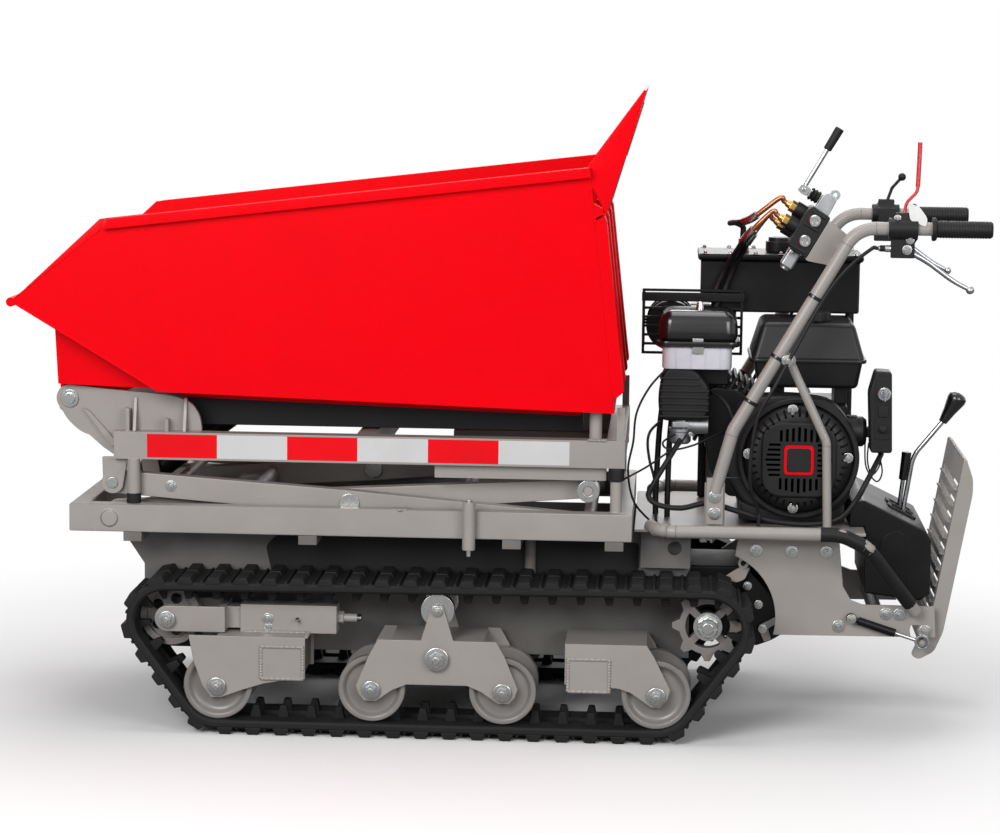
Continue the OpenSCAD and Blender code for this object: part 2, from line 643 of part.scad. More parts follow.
// Bin
bin_lip = [lip_x, lip_z];
bin_front = [-724, 734];
bin_rear = [256, 705];
rim_rear = [197, rim_z1];
rim_front = [-846, rim_z0];
ear_in = hinge_in - 16;
bin_outer = [bin_lip, bin_front, bin_rear, rim_rear, rim_front];
function floor_at(x) = x < bin_front[0]
  ? bin_lip[1] + (x - bin_lip[0]) / (bin_front[0] - bin_lip[0]) * (bin_front[1] - bin_lip[1])
  : bin_front[1] + (x - bin_front[0]) / (bin_rear[0] - bin_front[0]) * (bin_rear[1] - bin_front[1]);
bin_inner = [[lip_x - 40, lip_z + 28], [lip_x, lip_z + bin_t + 1], bin_front + [2, bin_t + 1],
  bin_rear + [-bin_t, bin_t],
  bin_rear + [-bin_t, bin_t] + 1.2 * (rim_rear - bin_rear), [lip_x - 40, rim_z1 + 110]];
rim_drop = 0.6;
function rim_at(x) = rim_z0 + (x - rim_front[0]) / (rim_rear[0] - rim_front[0]) * (rim_z1 - rim_z0) - rim_drop;

module bin() color(red) {
  difference() {
    plate_xz(bin_outer, -bin_y, bin_y);
    plate_xz(bin_inner, -bin_y + bin_t, bin_y - bin_t);
  }
  rod_y(lip_x, lip_z, lip_r, -bin_y, bin_y);
  both_sides() plate_xz([[-826, rim_at(-826)], [-836, rim_at(-836) - 22], rim_rear + [2, -22],
    [rim_rear[0], rim_at(rim_rear[0])]], -bin_y - rim_w, -bin_y + 1);
  plate_xz([rim_rear + [8, -118], rim_rear + [36, -100], rim_rear + [66, 0], [300, guard_z - 40],
    [312, guard_z], [306, guard_z], [295, guard_z - 38], rim_rear + [60, 0], rim_rear + [31, -98],
    rim_rear + [4, -110]], -bin_y, bin_y);
  both_sides() plate_xz([rim_rear + [-8, -16], rim_rear + [33, -98], rim_rear + [63, 0], [298, guard_z - 38],
    [308, guard_z], [rim_rear[0] - 8, rim_at(rim_rear[0] - 8)]], -bin_y, -bin_y + bin_t);
  both_sides() {
    plate_xz([[-718, floor_at(-718) + 2], [190, floor_at(190) + 2], [190, 692], [176, 682],
      [-690, 708]], -215, -185);
    difference() {
      union() {
        plate_xz([[-962, floor_at(-962) + 2], [-745, floor_at(-745) + 2], [-890, 694], [-930, 690],
          [-948, 700]], -hinge_in + 4, -ear_in);
        rod_y(tip_x, tip_z, 26, -hinge_in + 4, -ear_in);
      }
      rod_y(tip_x, tip_z, pin_r + pin_fit, -400, 0);
    }
    plate_xz([[tip_q[0] - 26, floor_at(tip_q[0] - 26) + 2],
      [tip_q[0] + 26, floor_at(tip_q[0] + 26) + 2], [tip_q[0] + 20, 668], [tip_q[0] - 20, 668]], -39, -31);
  }
  difference() {
    plate_xz([[-955, floor_at(-955) + 2], [-948, 742], bin_front + [0, 1]], -300, 300);
    plate_xz([[-951, floor_at(-951) + 1.5], [-945, 746], bin_front + [-22, 5],
      [bin_front[0] - 22, floor_at(bin_front[0] - 22) + 1.5]], -296, 296);
  }
}

// Hydraulic cylinders
module barrel(len, r, eye_r, bore, eye_w, base) {
  difference() {
    union() {
      rod_y(0, 0, eye_r, -eye_w, eye_w);
      rotate([0, 90, 0]) cylinder(r = eye_w, h = eye_r + 12);
      translate([eye_r + 6, 0, 0]) rotate([0, 90, 0]) cylinder(r = r, h = len - eye_r - 6);
      translate([len - 24, 0, 0]) rotate([0, 90, 0]) cylinder(r = r + 3, h = 24);
    }
    rod_y(0, 0, bore, -60, 60);
    translate([eye_r + base, 0, 0]) rotate([0, 90, 0]) cylinder(r = r - 5, h = len - eye_r - base - 12);
    translate([eye_r + base, 0, 0]) rotate([0, 90, 0]) cylinder(r = r * 0.5 + 1, h = len);
  }
}

module piston_rod(start, len, r, head, head_l, eye_r, eye_w) {
  difference() {
    union() {
      translate([start, 0, 0]) rotate([0, 90, 0]) cylinder(r = head, h = head_l);
      translate([start, 0, 0]) rotate([0, 90, 0]) cylinder(r = r, h = len - start - eye_r + 4);
      rod_y(len, 0, eye_r, -eye_w, eye_w);
    }
    rod_y(len, 0, eye_r * 0.55, -60, 60);
  }
}

module lift_barrels() color(black) both_sides() along(lift_p, lift_q, -lift_y)
  barrel(span(lift_p, lift_q) - 40, 24, 18, 10.5, 12, 18);
module lift_rods() color(steel) both_sides() along(lift_p, lift_q, -lift_y)
  piston_rod(38, span(lift_p, lift_q), 12, 18, 12, 18, 11);
module tip_barrel() color(black) along(tip_p, tip_q, 0)
  barrel(span(tip_p, tip_q) - 22, 26, 20, 11.5, 24, 10);
module tip_rod() color(steel) along(tip_p, tip_q, 0)
  piston_rod(31, span(tip_p, tip_q), 13, 20, 8, 18, 17);

// Engine deck and rear plates
module engine_deck() color(grey) {
  difference() {
    block(base_x1 + 4, 800, -276, 276, deck_z - deck_t, deck_z);
    block(560, 640, -60, 60, deck_z - 20, deck_z + 20);
  }
  both_sides() {
    bent_tube([[336, -262, 452], [354, -316, 452], [384, -332, 452], [744, -332, 452], [800, -322, 424],
      [914, -238, 270]], 14, 30);
    rod_y(914, 270, 9, -244, -rear_y);
    block(452, 496, -bar_y + bar_r, -bar_y + bar_r + 8, deck_z - 1, 548);
    block(452, 496, -bar_y + bar_r, -bar_y + bar_r + 40, deck_z - 1, deck_z + 8);
  }
}

rear_y = side_y + 16;
gas_swing = span([fold_x, fold_z], gas_q);
module rear_side_plates() color(grey) {
  both_sides() difference() {
    plate_xz([[530, deck_z - deck_t], [745, deck_z - deck_t], [757, 320], [775, 290], [800, 281], [956, 280],
      [960, 212], [600, 210], [510, 300]], -rear_y, -rear_y + 6);
    rod_y(sprocket_x, sprocket_z, 148, -rear_y - 5, -rear_y + 10);
    rod_y(fold_x, fold_z, axle_r + axle_fit, -rear_y - 5, -rear_y + 10);
    difference() {
      rod_y(fold_x, fold_z, gas_swing + 8, -rear_y - 5, -rear_y + 10);
      rod_y(fold_x, fold_z, gas_swing - 8, -rear_y - 6, -rear_y + 11);
      block(fold_x + 4, fold_x + 50, -rear_y - 7, -rear_y + 12, fold_z - 50, fold_z + 50);
      block(fold_x - 50, fold_x + 50, -rear_y - 7, -rear_y + 12, fold_z + 12, fold_z + 50);
    }
  }
  rod_y(690, 330, 20, -rear_y + 2, rear_y - 2);
  rod_y(840, 236, 16, -rear_y + 2, rear_y - 2);
  rod_y(gas_p[0], gas_p[1], 6, gas_y - 8, -rear_y + 2);
}

module transmission() color(steel) {
  block(392, 560, -110, 110, 182, 340);
  block(392, 424, -90, 90, 158, 186);
  rod_y(sprocket_x, sprocket_z, 62, -122, 122);
  difference() {
    rod_y(sprocket_x, sprocket_z, 30, -side_y - 6, side_y + 6);
    rod_y(sprocket_x, sprocket_z, 17, -side_y - 7, -120);
    rod_y(sprocket_x, sprocket_z, 17, 120, side_y + 7);
  }
  translate([600, 0, 280]) rotate([0, -90, 0]) cylinder(r = 40, h = 60);
  rod_y(600, 280, 34, -30, 60);
}

// Engine
module engine_block() color(black) {
  difference() {
    block(528, 764, -104, 150, deck_z + 14, 700);
    block(500, 800, -60, 100, deck_z, deck_z + 20);
  }
  block(530, 762, -104, -64, deck_z, deck_z + 16);
  block(530, 762, 104, 150, deck_z, deck_z + 16);
  rod_y(crank_x, crank_z, 60, 140, 176);
  rod_y(crank_x, crank_z, 16, 170, 236);
  translate([560, 22, 640]) rotate([0, -62, 0]) {
    block(-70, 70, -90, 90, 0, 120);
    for (k = [0 : 5]) block(-84, 84, -102, 102, 26 + k * 15, 34 + k * 15);
    block(-62, 62, -80, 80, 118, 150);
  }
  block(430, 500, -86, -40, 742, 784);
}

module fan_shroud() color(black) {
  difference() {
    union() {
      rod_y(crank_x, crank_z, 142, -200, -104);
      block(crank_x - 120, crank_x + 110, -200, -104, deck_z + 10, crank_z);
    }
    rod_y(crank_x, crank_z, 112, -196, -100);
    rod_y(crank_x, crank_z, 96, -210, -100);
  }
  block(crank_x + 108, crank_x + 160, -170, -140, 640, 664);
  translate([crank_x + 80, -150, 652]) rotate([0, 90, 0]) cylinder(r = 32, h = 70);
}

module recoil_starter() color(red) difference() {
  union() {
    rod_y(crank_x, crank_z, recoil_r, -222, -200);
    rod_y(crank_x, crank_z, recoil_r - 26, -236, -220);
    rod_y(crank_x, crank_z, 90, -204, -188);
  }
  rod_y(crank_x, crank_z, 80, -214, -180);
  for (a = [0 : 30 : 359]) translate([crank_x, 0, crank_z]) rotate([0, a, 0])
    translate([recoil_r - 16, -230, -4]) cube([8, 60, 22]);
}

tank_seam = [568, 792, -140, 100];
function inset(b, d) = [b[0] + d, b[1] - d, b[2] + d, b[3] - d];
module slab(b, z, h) {
  block(b[0], b[1], b[2], b[3], z, z + h);
}
module tank_body(d) {
  hull() {
    slab(inset(tank_seam, d), 803, 1);
    slab(inset(tank_seam, 22 + d), 884 - d, 2);
  }
  hull() {
    slab(inset(tank_seam, d), 803, 1);
    slab(inset(tank_seam, 18 + d), 744 + d, 2);
  }
}

module fuel_tank() color(black) difference() {
  union() {
    tank_body(0);
    block(560, 800, -148, 108, 798, 808);
    block(598, 628, -60, 60, 700, 746);
    block(736, 764, -60, 60, 700, 746);
    translate([690, -80, 880]) cylinder(r = 24, h = 14);
  }
  tank_body(6);
  translate([690, -80, 860]) cylinder(r = 19, h = 60);
}

module fuel_cap() color(black) translate([690, -80, 0]) difference() {
  union() {
    translate([0, 0, 886.4]) cylinder(r = 31, h = 20);
    for (a = [0 : 30 : 359]) rotate(a) translate([29, -4, 888]) cube([4, 8, 16]);
  }
  translate([0, 0, 880]) cylinder(r = 24.5, h = 14.5);
}

module air_cleaner() color(black) {
  block(352, 522, -172, -24, 824, 918);
  block(346, 528, -178, -18, 818, 830);
  block(360, 514, -164, -32, 784, 820);
  plate_xz([[358, 786], [426, 786], [461, 743], [462, 690], [449, 668], [352, 668], [347, 721]], -162, -106);
  translate([398, -134, 618]) cylinder(r = 24, h = 52);
}

module muffler() color(steel) {
  rod_y(372, 862, 52, 6, 168);
  for (y = [6, 84, 162]) rod_y(372, 862, 55, y, y + 6);
  bent_tube([[396, 90, 836], [440, 90, 806], [455.5, 90, 765.3]], 14, 24);
  bent_tube([[372, 160, 862], [372, 196, 862], [352, 224, 834]], 12, 20);
}

module muffler_guard() color(black) {
  for (z = [800 : 20 : 940]) block(308, 532, -14, -10, z, z + 6);
  for (x = [308, 526]) block(x, x + 6, -14, -9, 800, 946);
  for (z = [800, 860, 920]) block(308, 312, -12, 168, z, z + 6);
  for (y = [24 : 36 : 168]) block(308, 313, y, y + 4, 800, 926);
  for (y = [60, 132]) block(311, 319.6, y, y + 4, 860, 866);
}

module key_panel() color(black) {
  difference() {
    block(814, 858, -196, -128, 604, 784);
    rod_y(836, 740, 9, -200, -180);
  }
  block(crank_x + 160, 815, -170, -140, 640, 664);
}

module ignition_key() color(steel) {
  rod_y(836, 740, 8, -206, -186);
  block(834, 838, -232, -204, 728, 752);
}

// Hydraulic tank, valve and hoses
module hydraulic_tank() color(black) {
  difference() {
    union() {
      block(438, 790, 12, 204, 894, 1016);
      block(430, 798, 4, 212, 1010, 1024);
      translate([612, 90, 1020]) cylinder(r = 22, h = 14);
    }
    block(444, 784, 18, 198, 900, 1004);
    translate([612, 90, 990]) cylinder(r = 16, h = 60);
  }
  for (x = [440, 770]) block(x, x + 20, 194, 204, deck_z, 896);
  translate([530, 60, 1022]) cylinder(r = 10, h = 30);
  translate([530, 60, 1022]) cylinder(r = 15, h = 12, $fn = 6);
}

module tank_filler_cap() color(black) translate([612, 90, 0]) difference() {
  union() {
    translate([0, 0, 1025]) cylinder(r = 30, h = 24);
    translate([0, 0, 1048]) cylinder(r = 24, h = 10);
  }
  translate([0, 0, 1020]) cylinder(r = 23, h = 15);
}

bar_knee = [510, 664];
bar_top = [grip_x1 - 286, grip_z];
function bar_at(z) = bar_knee[0] + (z - bar_knee[1]) / (bar_top[1] - bar_knee[1]) * (bar_top[0] - bar_knee[0]);
valve_at = [bar_at(1050) - 50, -150, 1071];
valve_tilt = 60;
lever_at = [78, 80];
valve_ports = [[34, 0], [2, -28], [-12, 28]];
function valve_point(x, y, z) = [valve_at[0] + x * cos(valve_tilt) - z * sin(valve_tilt), valve_at[1] + y,
  valve_at[2] + x * sin(valve_tilt) + z * cos(valve_tilt)];
module at_valve() {
  translate(valve_at) rotate([0, -valve_tilt, 0]) children();
}

module control_valve() color(black) at_valve() {
  block(-45, 45, -50, 50, 0, 74);
  for (p = valve_ports) translate([p[0], p[1], 72]) cylinder(r = 10, h = 18);
  for (y = [-70, 49]) rod_y(-10, 40, 14, y, y + 21);
  block(44, 96, -16, 16, 16, 40);
  translate([lever_at[0], 0, 38]) cylinder(r = 15, h = 24);
  difference() {
    block(lever_at[0] - 14, lever_at[0] + 14, -14, 14, 60, 90);
    block(lever_at[0] - 20, lever_at[0] + 20, -8, 8, 66, 100);
    rod_y(lever_at[0], lever_at[1], 4 + pin_fit, -40, 40);
  }
}

module valve_lever() color(black) at_valve() {
  rod_y(lever_at[0], lever_at[1], 4, -19, 19);
  rod_y(lever_at[0], lever_at[1], 9, -6, 6);
  rod_between([lever_at[0], 0, lever_at[1]], [lever_at[0] + 112, 0, lever_at[1]], 5);
  rod_between([lever_at[0] + 96, 0, lever_at[1]], [lever_at[0] + 150, 0, lever_at[1]], 17);
}

// Hose ends stand 0.4 off their fittings and leave straight
function port_run(p) = [for (d = [90.4, 102, 114]) valve_point(p[0], p[1], d)];
hose_a = concat(port_run(valve_ports[0]), [[540, -130, 1110], [500, -40, 1096], [512, 40, 1092],
  [529, 59, 1082], [530, 60, 1066], [530, 60, 1052.4]]);
hose_b = concat(port_run(valve_ports[1]), [[536, -160, 1078], [514, -66, 1036], [494, -14, 998],
  [478, -2, 964], [464, -1.5, 930], [412, -1, 836], [386, -1, 790], [366, -8, 740], [352, -30, 640],
  [346, -60, 500], [346, -60, 470], [346, -60, deck_z + 0.4]]);
hose_c = concat(port_run(valve_ports[2]), [[542, -100, 1066], [526, -52, 1032], [512, -14, 998],
  [498, -2, 964], [484, -1.5, 930], [434, -1, 836], [408, -1, 792], [392, -14, 740], [376, -60, 640],
  [372, -96, 500], [372, -96, 470], [372, -96, deck_z + 0.4]]);
module hydraulic_hoses() color(rubber) {
  cord(hose_a, 6.5);
  cord(hose_b, 6.5);
  cord(hose_c, 6.5);
}

// Handlebars
module bar_side() {
  bent_tube([[474, -bar_y, 530], [bar_knee[0], -bar_y, bar_knee[1]], [bar_top[0], -bar_y, bar_top[1]],
    [grip_x1 - 12, -bar_y, grip_z]], bar_r, 70);
  block(456, 492, -bar_y - 6, -bar_y + bar_r, deck_z + 14, 560);
}

module handlebars() color(grey) {
  both_sides() bar_side();
  rod_y(bar_at(1050), 1050, 12, -bar_y, bar_y);
  at_valve() {
    block(-48, 48, -54, 54, -8, 0);
    for (y = [-54, 46]) plate_xz([[-48, -7], [-30, -58], [40, -62], [48, -7]], y, y + 8);
  }
}

brace_y = bar_y - bar_r - 11;
brace_top = bar_at(816) + 30;
module handlebar_braces() color(grey) both_sides() {
  bent_tube([[brace_top, -brace_y, 816], [712, -brace_y, 640], [718, -brace_y, deck_z + 4]], 9.5, 40);
  translate([718, -brace_y, deck_z]) cylinder(r = 18, h = 8);
  rod_y(brace_top, 816, 14, -bar_y + bar_r, -brace_y + 11);
}

module hand_grips() color(black) both_sides() difference() {
  union() {
    translate([grip_x1 - grip_l, -bar_y, grip_z]) rotate([0, 90, 0]) cylinder(r = grip_r, h = grip_l);
    translate([grip_x1 - grip_l, -bar_y, grip_z]) rotate([0, 90, 0]) cylinder(r = grip_r + 6, h = 8);
  }
  translate([grip_x1 - grip_l - 1, -bar_y, grip_z]) rotate([0, 90, 0]) cylinder(r = bar_r, h = grip_l - 11);
}

house_x = grip_x1 - grip_l - 44;
steer_pin = [house_x + 14, grip_z - 44];
module lever_housings() color(black) both_sides() {
  rod_y(steer_pin[0], steer_pin[1], 4, -bar_y - 7, -bar_y + 7);
  rod_y(house_x + 6, grip_z + 25, 3.5, -bar_y - 9, -bar_y + 9);
  difference() {
    union() {
      translate([house_x - 26, -bar_y, grip_z]) rotate([0, 90, 0]) cylinder(r = bar_r + 9, h = 62);
      block(house_x - 20, house_x + 30, -bar_y - 8, -bar_y + 8, grip_z - 62, grip_z);
      translate([house_x - 44, -bar_y, grip_z - 42]) rotate([0, 90, 0]) cylinder(r = 7, h = 30);
      block(house_x - 12, house_x + 24, -bar_y - 10, -bar_y + 10, grip_z, grip_z + 34);
      block(house_x - 14, house_x + 22, -bar_y + 10, -bar_y + 40, grip_z - 16, grip_z + 16);
    }
    translate([house_x - 60, -bar_y, grip_z]) rotate([0, 90, 0]) cylinder(r = bar_r, h = 140);
    block(house_x + 2, house_x + 40, -bar_y - 5, -bar_y + 5, grip_z - 70, grip_z - 22);
    block(house_x - 20, house_x + 30, -bar_y - 5.5, -bar_y + 5.5, grip_z + 17, grip_z + 40);
  }
}

module steering_lever() translate([0, -bar_y, 0]) difference() {
  union() {
    rod_y(steer_pin[0], steer_pin[1], 9, -4.2, 4.2);
    bent_tube([[steer_pin[0] + 5, 0, steer_pin[1] - 3], [steer_pin[0] + 40, 0, steer_pin[1] - 22],
      [steer_pin[0] + 100, 0, steer_pin[1] - 66], [steer_pin[0] + 136, 0, steer_pin[1] - 84]], 3.5, 60);
    translate([steer_pin[0] + 136, 0, steer_pin[1] - 84]) sphere(r = 8);
  }
  rod_y(steer_pin[0], steer_pin[1], 4 + pin_fit, -20, 20);
}

module steering_lever_left() color(steel) steering_lever();
module steering_lever_right() color(steel) mirror([0, 1, 0]) steering_lever();

red_a = [house_x + 6, -bar_y, grip_z + 25];
red_b = [house_x + 10, -bar_y + 2, grip_z + 66];
red_c = [house_x + 36, -bar_y + 16, grip_z + 176];
module drive_lever() color(red) {
  difference() {
    union() {
      rod_y(red_a[0], red_a[2], 8, -bar_y - 4.6, -bar_y + 4.6);
      bent_tube([red_a, red_b, red_c], 4, 12);
    }
    rod_y(red_a[0], red_a[2], 3.5 + pin_fit, -bar_y - 20, -bar_y + 20);
  }
  rod_between(red_b + 0.4 * (red_c - red_b), red_b + 1.04 * (red_c - red_b), 9);
}

module throttle_lever() color(black) mirror([0, 1, 0]) {
  difference() {
    union() {
      rod_y(red_a[0], red_a[2], 8, -bar_y - 4.6, -bar_y + 4.6);
      bent_tube([red_a, [house_x + 18, -bar_y, grip_z + 60], [house_x + 40, -bar_y + 6, grip_z + 86]], 3.5, 14);
    }
    rod_y(red_a[0], red_a[2], 3.5 + pin_fit, -bar_y - 20, -bar_y + 20);
  }
  translate([house_x + 40, -bar_y + 6, grip_z + 86]) sphere(r = 9);
}

cable_left = [[house_x - 44.4, -bar_y, grip_z - 42], [house_x - 52, -bar_y, grip_z - 42],
  [house_x - 60, -bar_y, grip_z - 43], [742, -bar_y - 4, 1014], [690, -bar_y - 6, 940], [600, -bar_y - 24, 770],
  [560, -bar_y - 22, 690], [548, -bar_y - 10, 560], [568, -256, 490], [570, -255, 474], [570, -255, 460],
  [570, -255, deck_z + 0.4]];
module control_cables() color(rubber) {
  cord(cable_left, 4, 4);
  mirror([0, 1, 0]) cord(cable_left, 4, 4);
}

// Console and shift levers
shift_pin = [884, 400];
module console_cover() color(black) {
  difference() {
    plate_xz([[768, deck_z], [772, 500], [800, 506], [936, 440], [948, 418], [948, 300], [926, 286], [806, 300],
      [802, deck_z]], -184, 184);
    plate_xz([[774, deck_z - 2], [778, 494], [800, 499], [932, 434], [942, 415], [942, 304], [926, 280],
      [812, 290], [808, deck_z - 2]], -179, 179);
    block(868, 912, -76, -44, 420, 500);
    block(868, 912, -8, 24, 420, 500);
  }
  rod_y(shift_pin[0], shift_pin[1], 7, -181, 181);
}

module shift_lever() color(steel) translate([0, -60, 0]) difference() {
  union() {
    rod_y(shift_pin[0], shift_pin[1], 15, -9, 9);
    bent_tube([[shift_pin[0] + 2, 0, shift_pin[1] + 11], [918, 0, 588], [990, 0, 692]], 6, 50);
    translate([996, 0, 704]) sphere(r = 21);
  }
  rod_y(shift_pin[0], shift_pin[1], 7 + pin_fit, -20, 20);
}

module range_lever() color(steel) translate([0, 8, 0]) difference() {
  union() {
    rod_y(shift_pin[0], shift_pin[1], 15, -9, 9);
    rod_between([shift_pin[0] + 1, 0, shift_pin[1] + 11], [900, 0, 544], 5);
    rod_between([894, 0, 490], [904, 0, 580], 10);
  }
  rod_y(shift_pin[0], shift_pin[1], 7 + pin_fit, -20, 20);
}

// Standing platform and its gas spring
module at_platform() {
  translate([fold_x, 0, fold_z]) rotate([0, plate_lean, 0]) children();
}

module step_platform() color(grey) {
  at_platform() {
    difference() {
      block(14, 18, -plate_y, plate_y, -58, plate_l - 14);
      for (y = [-150 : 60 : 150], z = [0 : 60 : plate_l - 60])
        translate([10, y, z]) rotate([0, 90, 0]) cylinder(r = 12, h = 20);
    }
    both_sides() plate_xz([[-22, -34], [-8, -62], [18, -62], [30, -20], [30, plate_l - 40], [18, plate_l - 14],
      [14, plate_l - 14], [10, 40], [-14, 24]], -plate_y - 5, -plate_y + 1);
    block(14, 32, -plate_y, plate_y, plate_l - 18, plate_l - 14);
  }
  both_sides() rod_y(fold_x, fold_z, axle_r, -rear_y - 3, -plate_y + 4);
  rod_y(gas_q[0], gas_q[1], 6, gas_y - 8, -plate_y);
}

module gas_spring_barrel() color(black) along(gas_p, gas_q, gas_y) difference() {
  union() {
    rod_y(0, 0, 11, -7, 7);
    rotate([0, 90, 0]) cylinder(r = 5, h = 20);
    translate([16, 0, 0]) rotate([0, 90, 0]) cylinder(r = 9, h = 84);
  }
  rod_y(0, 0, 6.5, -20, 20);
  translate([22, 0, 0]) rotate([0, 90, 0]) cylinder(r = 7, h = 74);
  translate([22, 0, 0]) rotate([0, 90, 0]) cylinder(r = 5, h = 100);
}

module gas_spring_rod() color(steel) along(gas_p, gas_q, gas_y) {
  len = span(gas_p, gas_q);
  difference() {
    union() {
      translate([62, 0, 0]) rotate([0, 90, 0]) cylinder(r = 4, h = len - 70);
      translate([62, 0, 0]) rotate([0, 90, 0]) cylinder(r = 6, h = 8);
      rod_y(len, 0, 16, -6, 6);
    }
    rod_y(len, 0, 12, -20, 20);
  }
}

chassis_frame();
lift_base_frame();
engine_deck();
rear_side_plates();
transmission();
roller_brackets();
track_belts();
sprocket_left();
sprocket_right();
idler_yokes();
idler_wheels();
front_rollers();
rear_rollers();
bogies();
bogie_front_rollers();
bogie_rear_rollers();
carrier_rollers();
inner_arms();
outer_arms();
upper_arm_rollers();
lower_arm_rollers();
centre_bolts();
upper_frame();
frame_pins();
rest_buffers();
bin();
lift_barrels();
lift_rods();
tip_barrel();
tip_rod();
engine_block();
fan_shroud();
recoil_starter();
fuel_tank();
fuel_cap();
air_cleaner();
muffler();
muffler_guard();
key_panel();
ignition_key();
hydraulic_tank();
tank_filler_cap();
control_valve();
valve_lever();
hydraulic_hoses();
handlebars();
handlebar_braces();
hand_grips();
lever_housings();
steering_lever_left();
steering_lever_right();
drive_lever();
throttle_lever();
control_cables();
console_cover();
shift_lever();
range_lever();
step_platform();
gas_spring_barrel();
gas_spring_rod();
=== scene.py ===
"""Looks of the tracked power carrier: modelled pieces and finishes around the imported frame.

Sizes are in millimetres, in the frame of the part: +X to the operator, -Y to the machine's left, +Z up.
Pieces are modelled in millimetres and handed over in metres.
"""

import json
import logging
import math
from dataclasses import dataclass, field
from enum import Enum
from typing import Callable, Sequence

import bpy
from mathutils import Matrix, Vector


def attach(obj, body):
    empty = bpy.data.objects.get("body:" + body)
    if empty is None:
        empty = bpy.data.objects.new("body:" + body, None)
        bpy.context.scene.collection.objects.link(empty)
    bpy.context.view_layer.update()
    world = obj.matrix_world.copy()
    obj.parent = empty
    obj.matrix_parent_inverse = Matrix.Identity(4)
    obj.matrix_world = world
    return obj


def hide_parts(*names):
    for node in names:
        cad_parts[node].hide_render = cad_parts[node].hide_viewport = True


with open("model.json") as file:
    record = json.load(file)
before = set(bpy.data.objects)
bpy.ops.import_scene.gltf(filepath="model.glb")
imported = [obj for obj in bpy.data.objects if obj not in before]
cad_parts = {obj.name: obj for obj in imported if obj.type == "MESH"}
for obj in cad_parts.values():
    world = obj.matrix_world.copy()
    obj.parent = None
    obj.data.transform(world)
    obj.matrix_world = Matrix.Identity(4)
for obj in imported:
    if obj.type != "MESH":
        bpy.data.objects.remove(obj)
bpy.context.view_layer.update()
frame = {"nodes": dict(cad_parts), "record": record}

LOG = logging.getLogger("carrier")
MM = 0.001

Pair = tuple[float, float]
Point = tuple[float, float, float]
Outline = list[Pair]
Object = bpy.types.Object
Material = bpy.types.Material
Tree = bpy.types.NodeTree
Socket = bpy.types.NodeSocket

# Middle of the part and directions in it
ORIGIN: Point = (0, 0, 0)
UP: Point = (0, 0, 1)
LEFT: Point = (0, -1, 0)
RIGHT: Point = (0, 1, 0)
REAR: Point = (1, 0, 0)
# Distance under which two points of a mesh become one
MERGE_GAP = 0.02
# Angle in degrees under which two faces count as flat
FLAT_ANGLE = 0.6
# Angle in degrees under which a fold is shaded smooth
SMOOTH_ANGLE = 38.0


# Finishes


def linear(code: str) -> tuple[float, float, float, float]:
    """Turns an sRGB hex colour to linear light.

    Args:
        code: Six hex digits, such as "E2000C".

    Returns:
        Red, green, blue and alpha for a colour socket.
    """
    parts = [int(code[i:i + 2], 16) / 255 for i in (0, 2, 4)]
    light = [c / 12.92 if c <= 0.04045 else ((c + 0.055) / 1.055) ** 2.4 for c in parts]
    return (light[0], light[1], light[2], 1.0)


def add_node(tree: Tree, kind: str, settings: dict, links: dict | None = None) -> bpy.types.Node:
    """Adds a shader node with its settings and links.

    Args:
        tree: The node tree of the material or world.
        kind: Blender's name of the node type.
        settings: Input sockets, by name or number, and node properties, with their values.
        links: Input sockets with the output sockets that feed them.

    Returns:
        The new node.
    """
    node = tree.nodes.new(kind)
    properties = {
        key: value for key, value in settings.items() if isinstance(key, str) and key not in node.inputs
    }
    for key, value in properties.items():
        setattr(node, key, value)
    for key, value in settings.items():
        if key not in properties:
            node.inputs[key].default_value = value
    for key, source in (links or {}).items():
        tree.links.new(source, node.inputs[key])
    return node


def empty_tree(owner: Material | bpy.types.World) -> Tree:
    """Turns on the nodes of a material or world and clears them.

    Args:
        owner: The material or world.

    Returns:
        Its empty node tree.
    """
    owner.use_nodes = True
    owner.node_tree.nodes.clear()
    return owner.node_tree


class Grain(Enum):
    """How the surface of a finish was made."""

    PEEL = "sprayed"
    MOULD = "moulded"
    BRUSH = "drawn or ground"
    PRISM = "prismatic film"


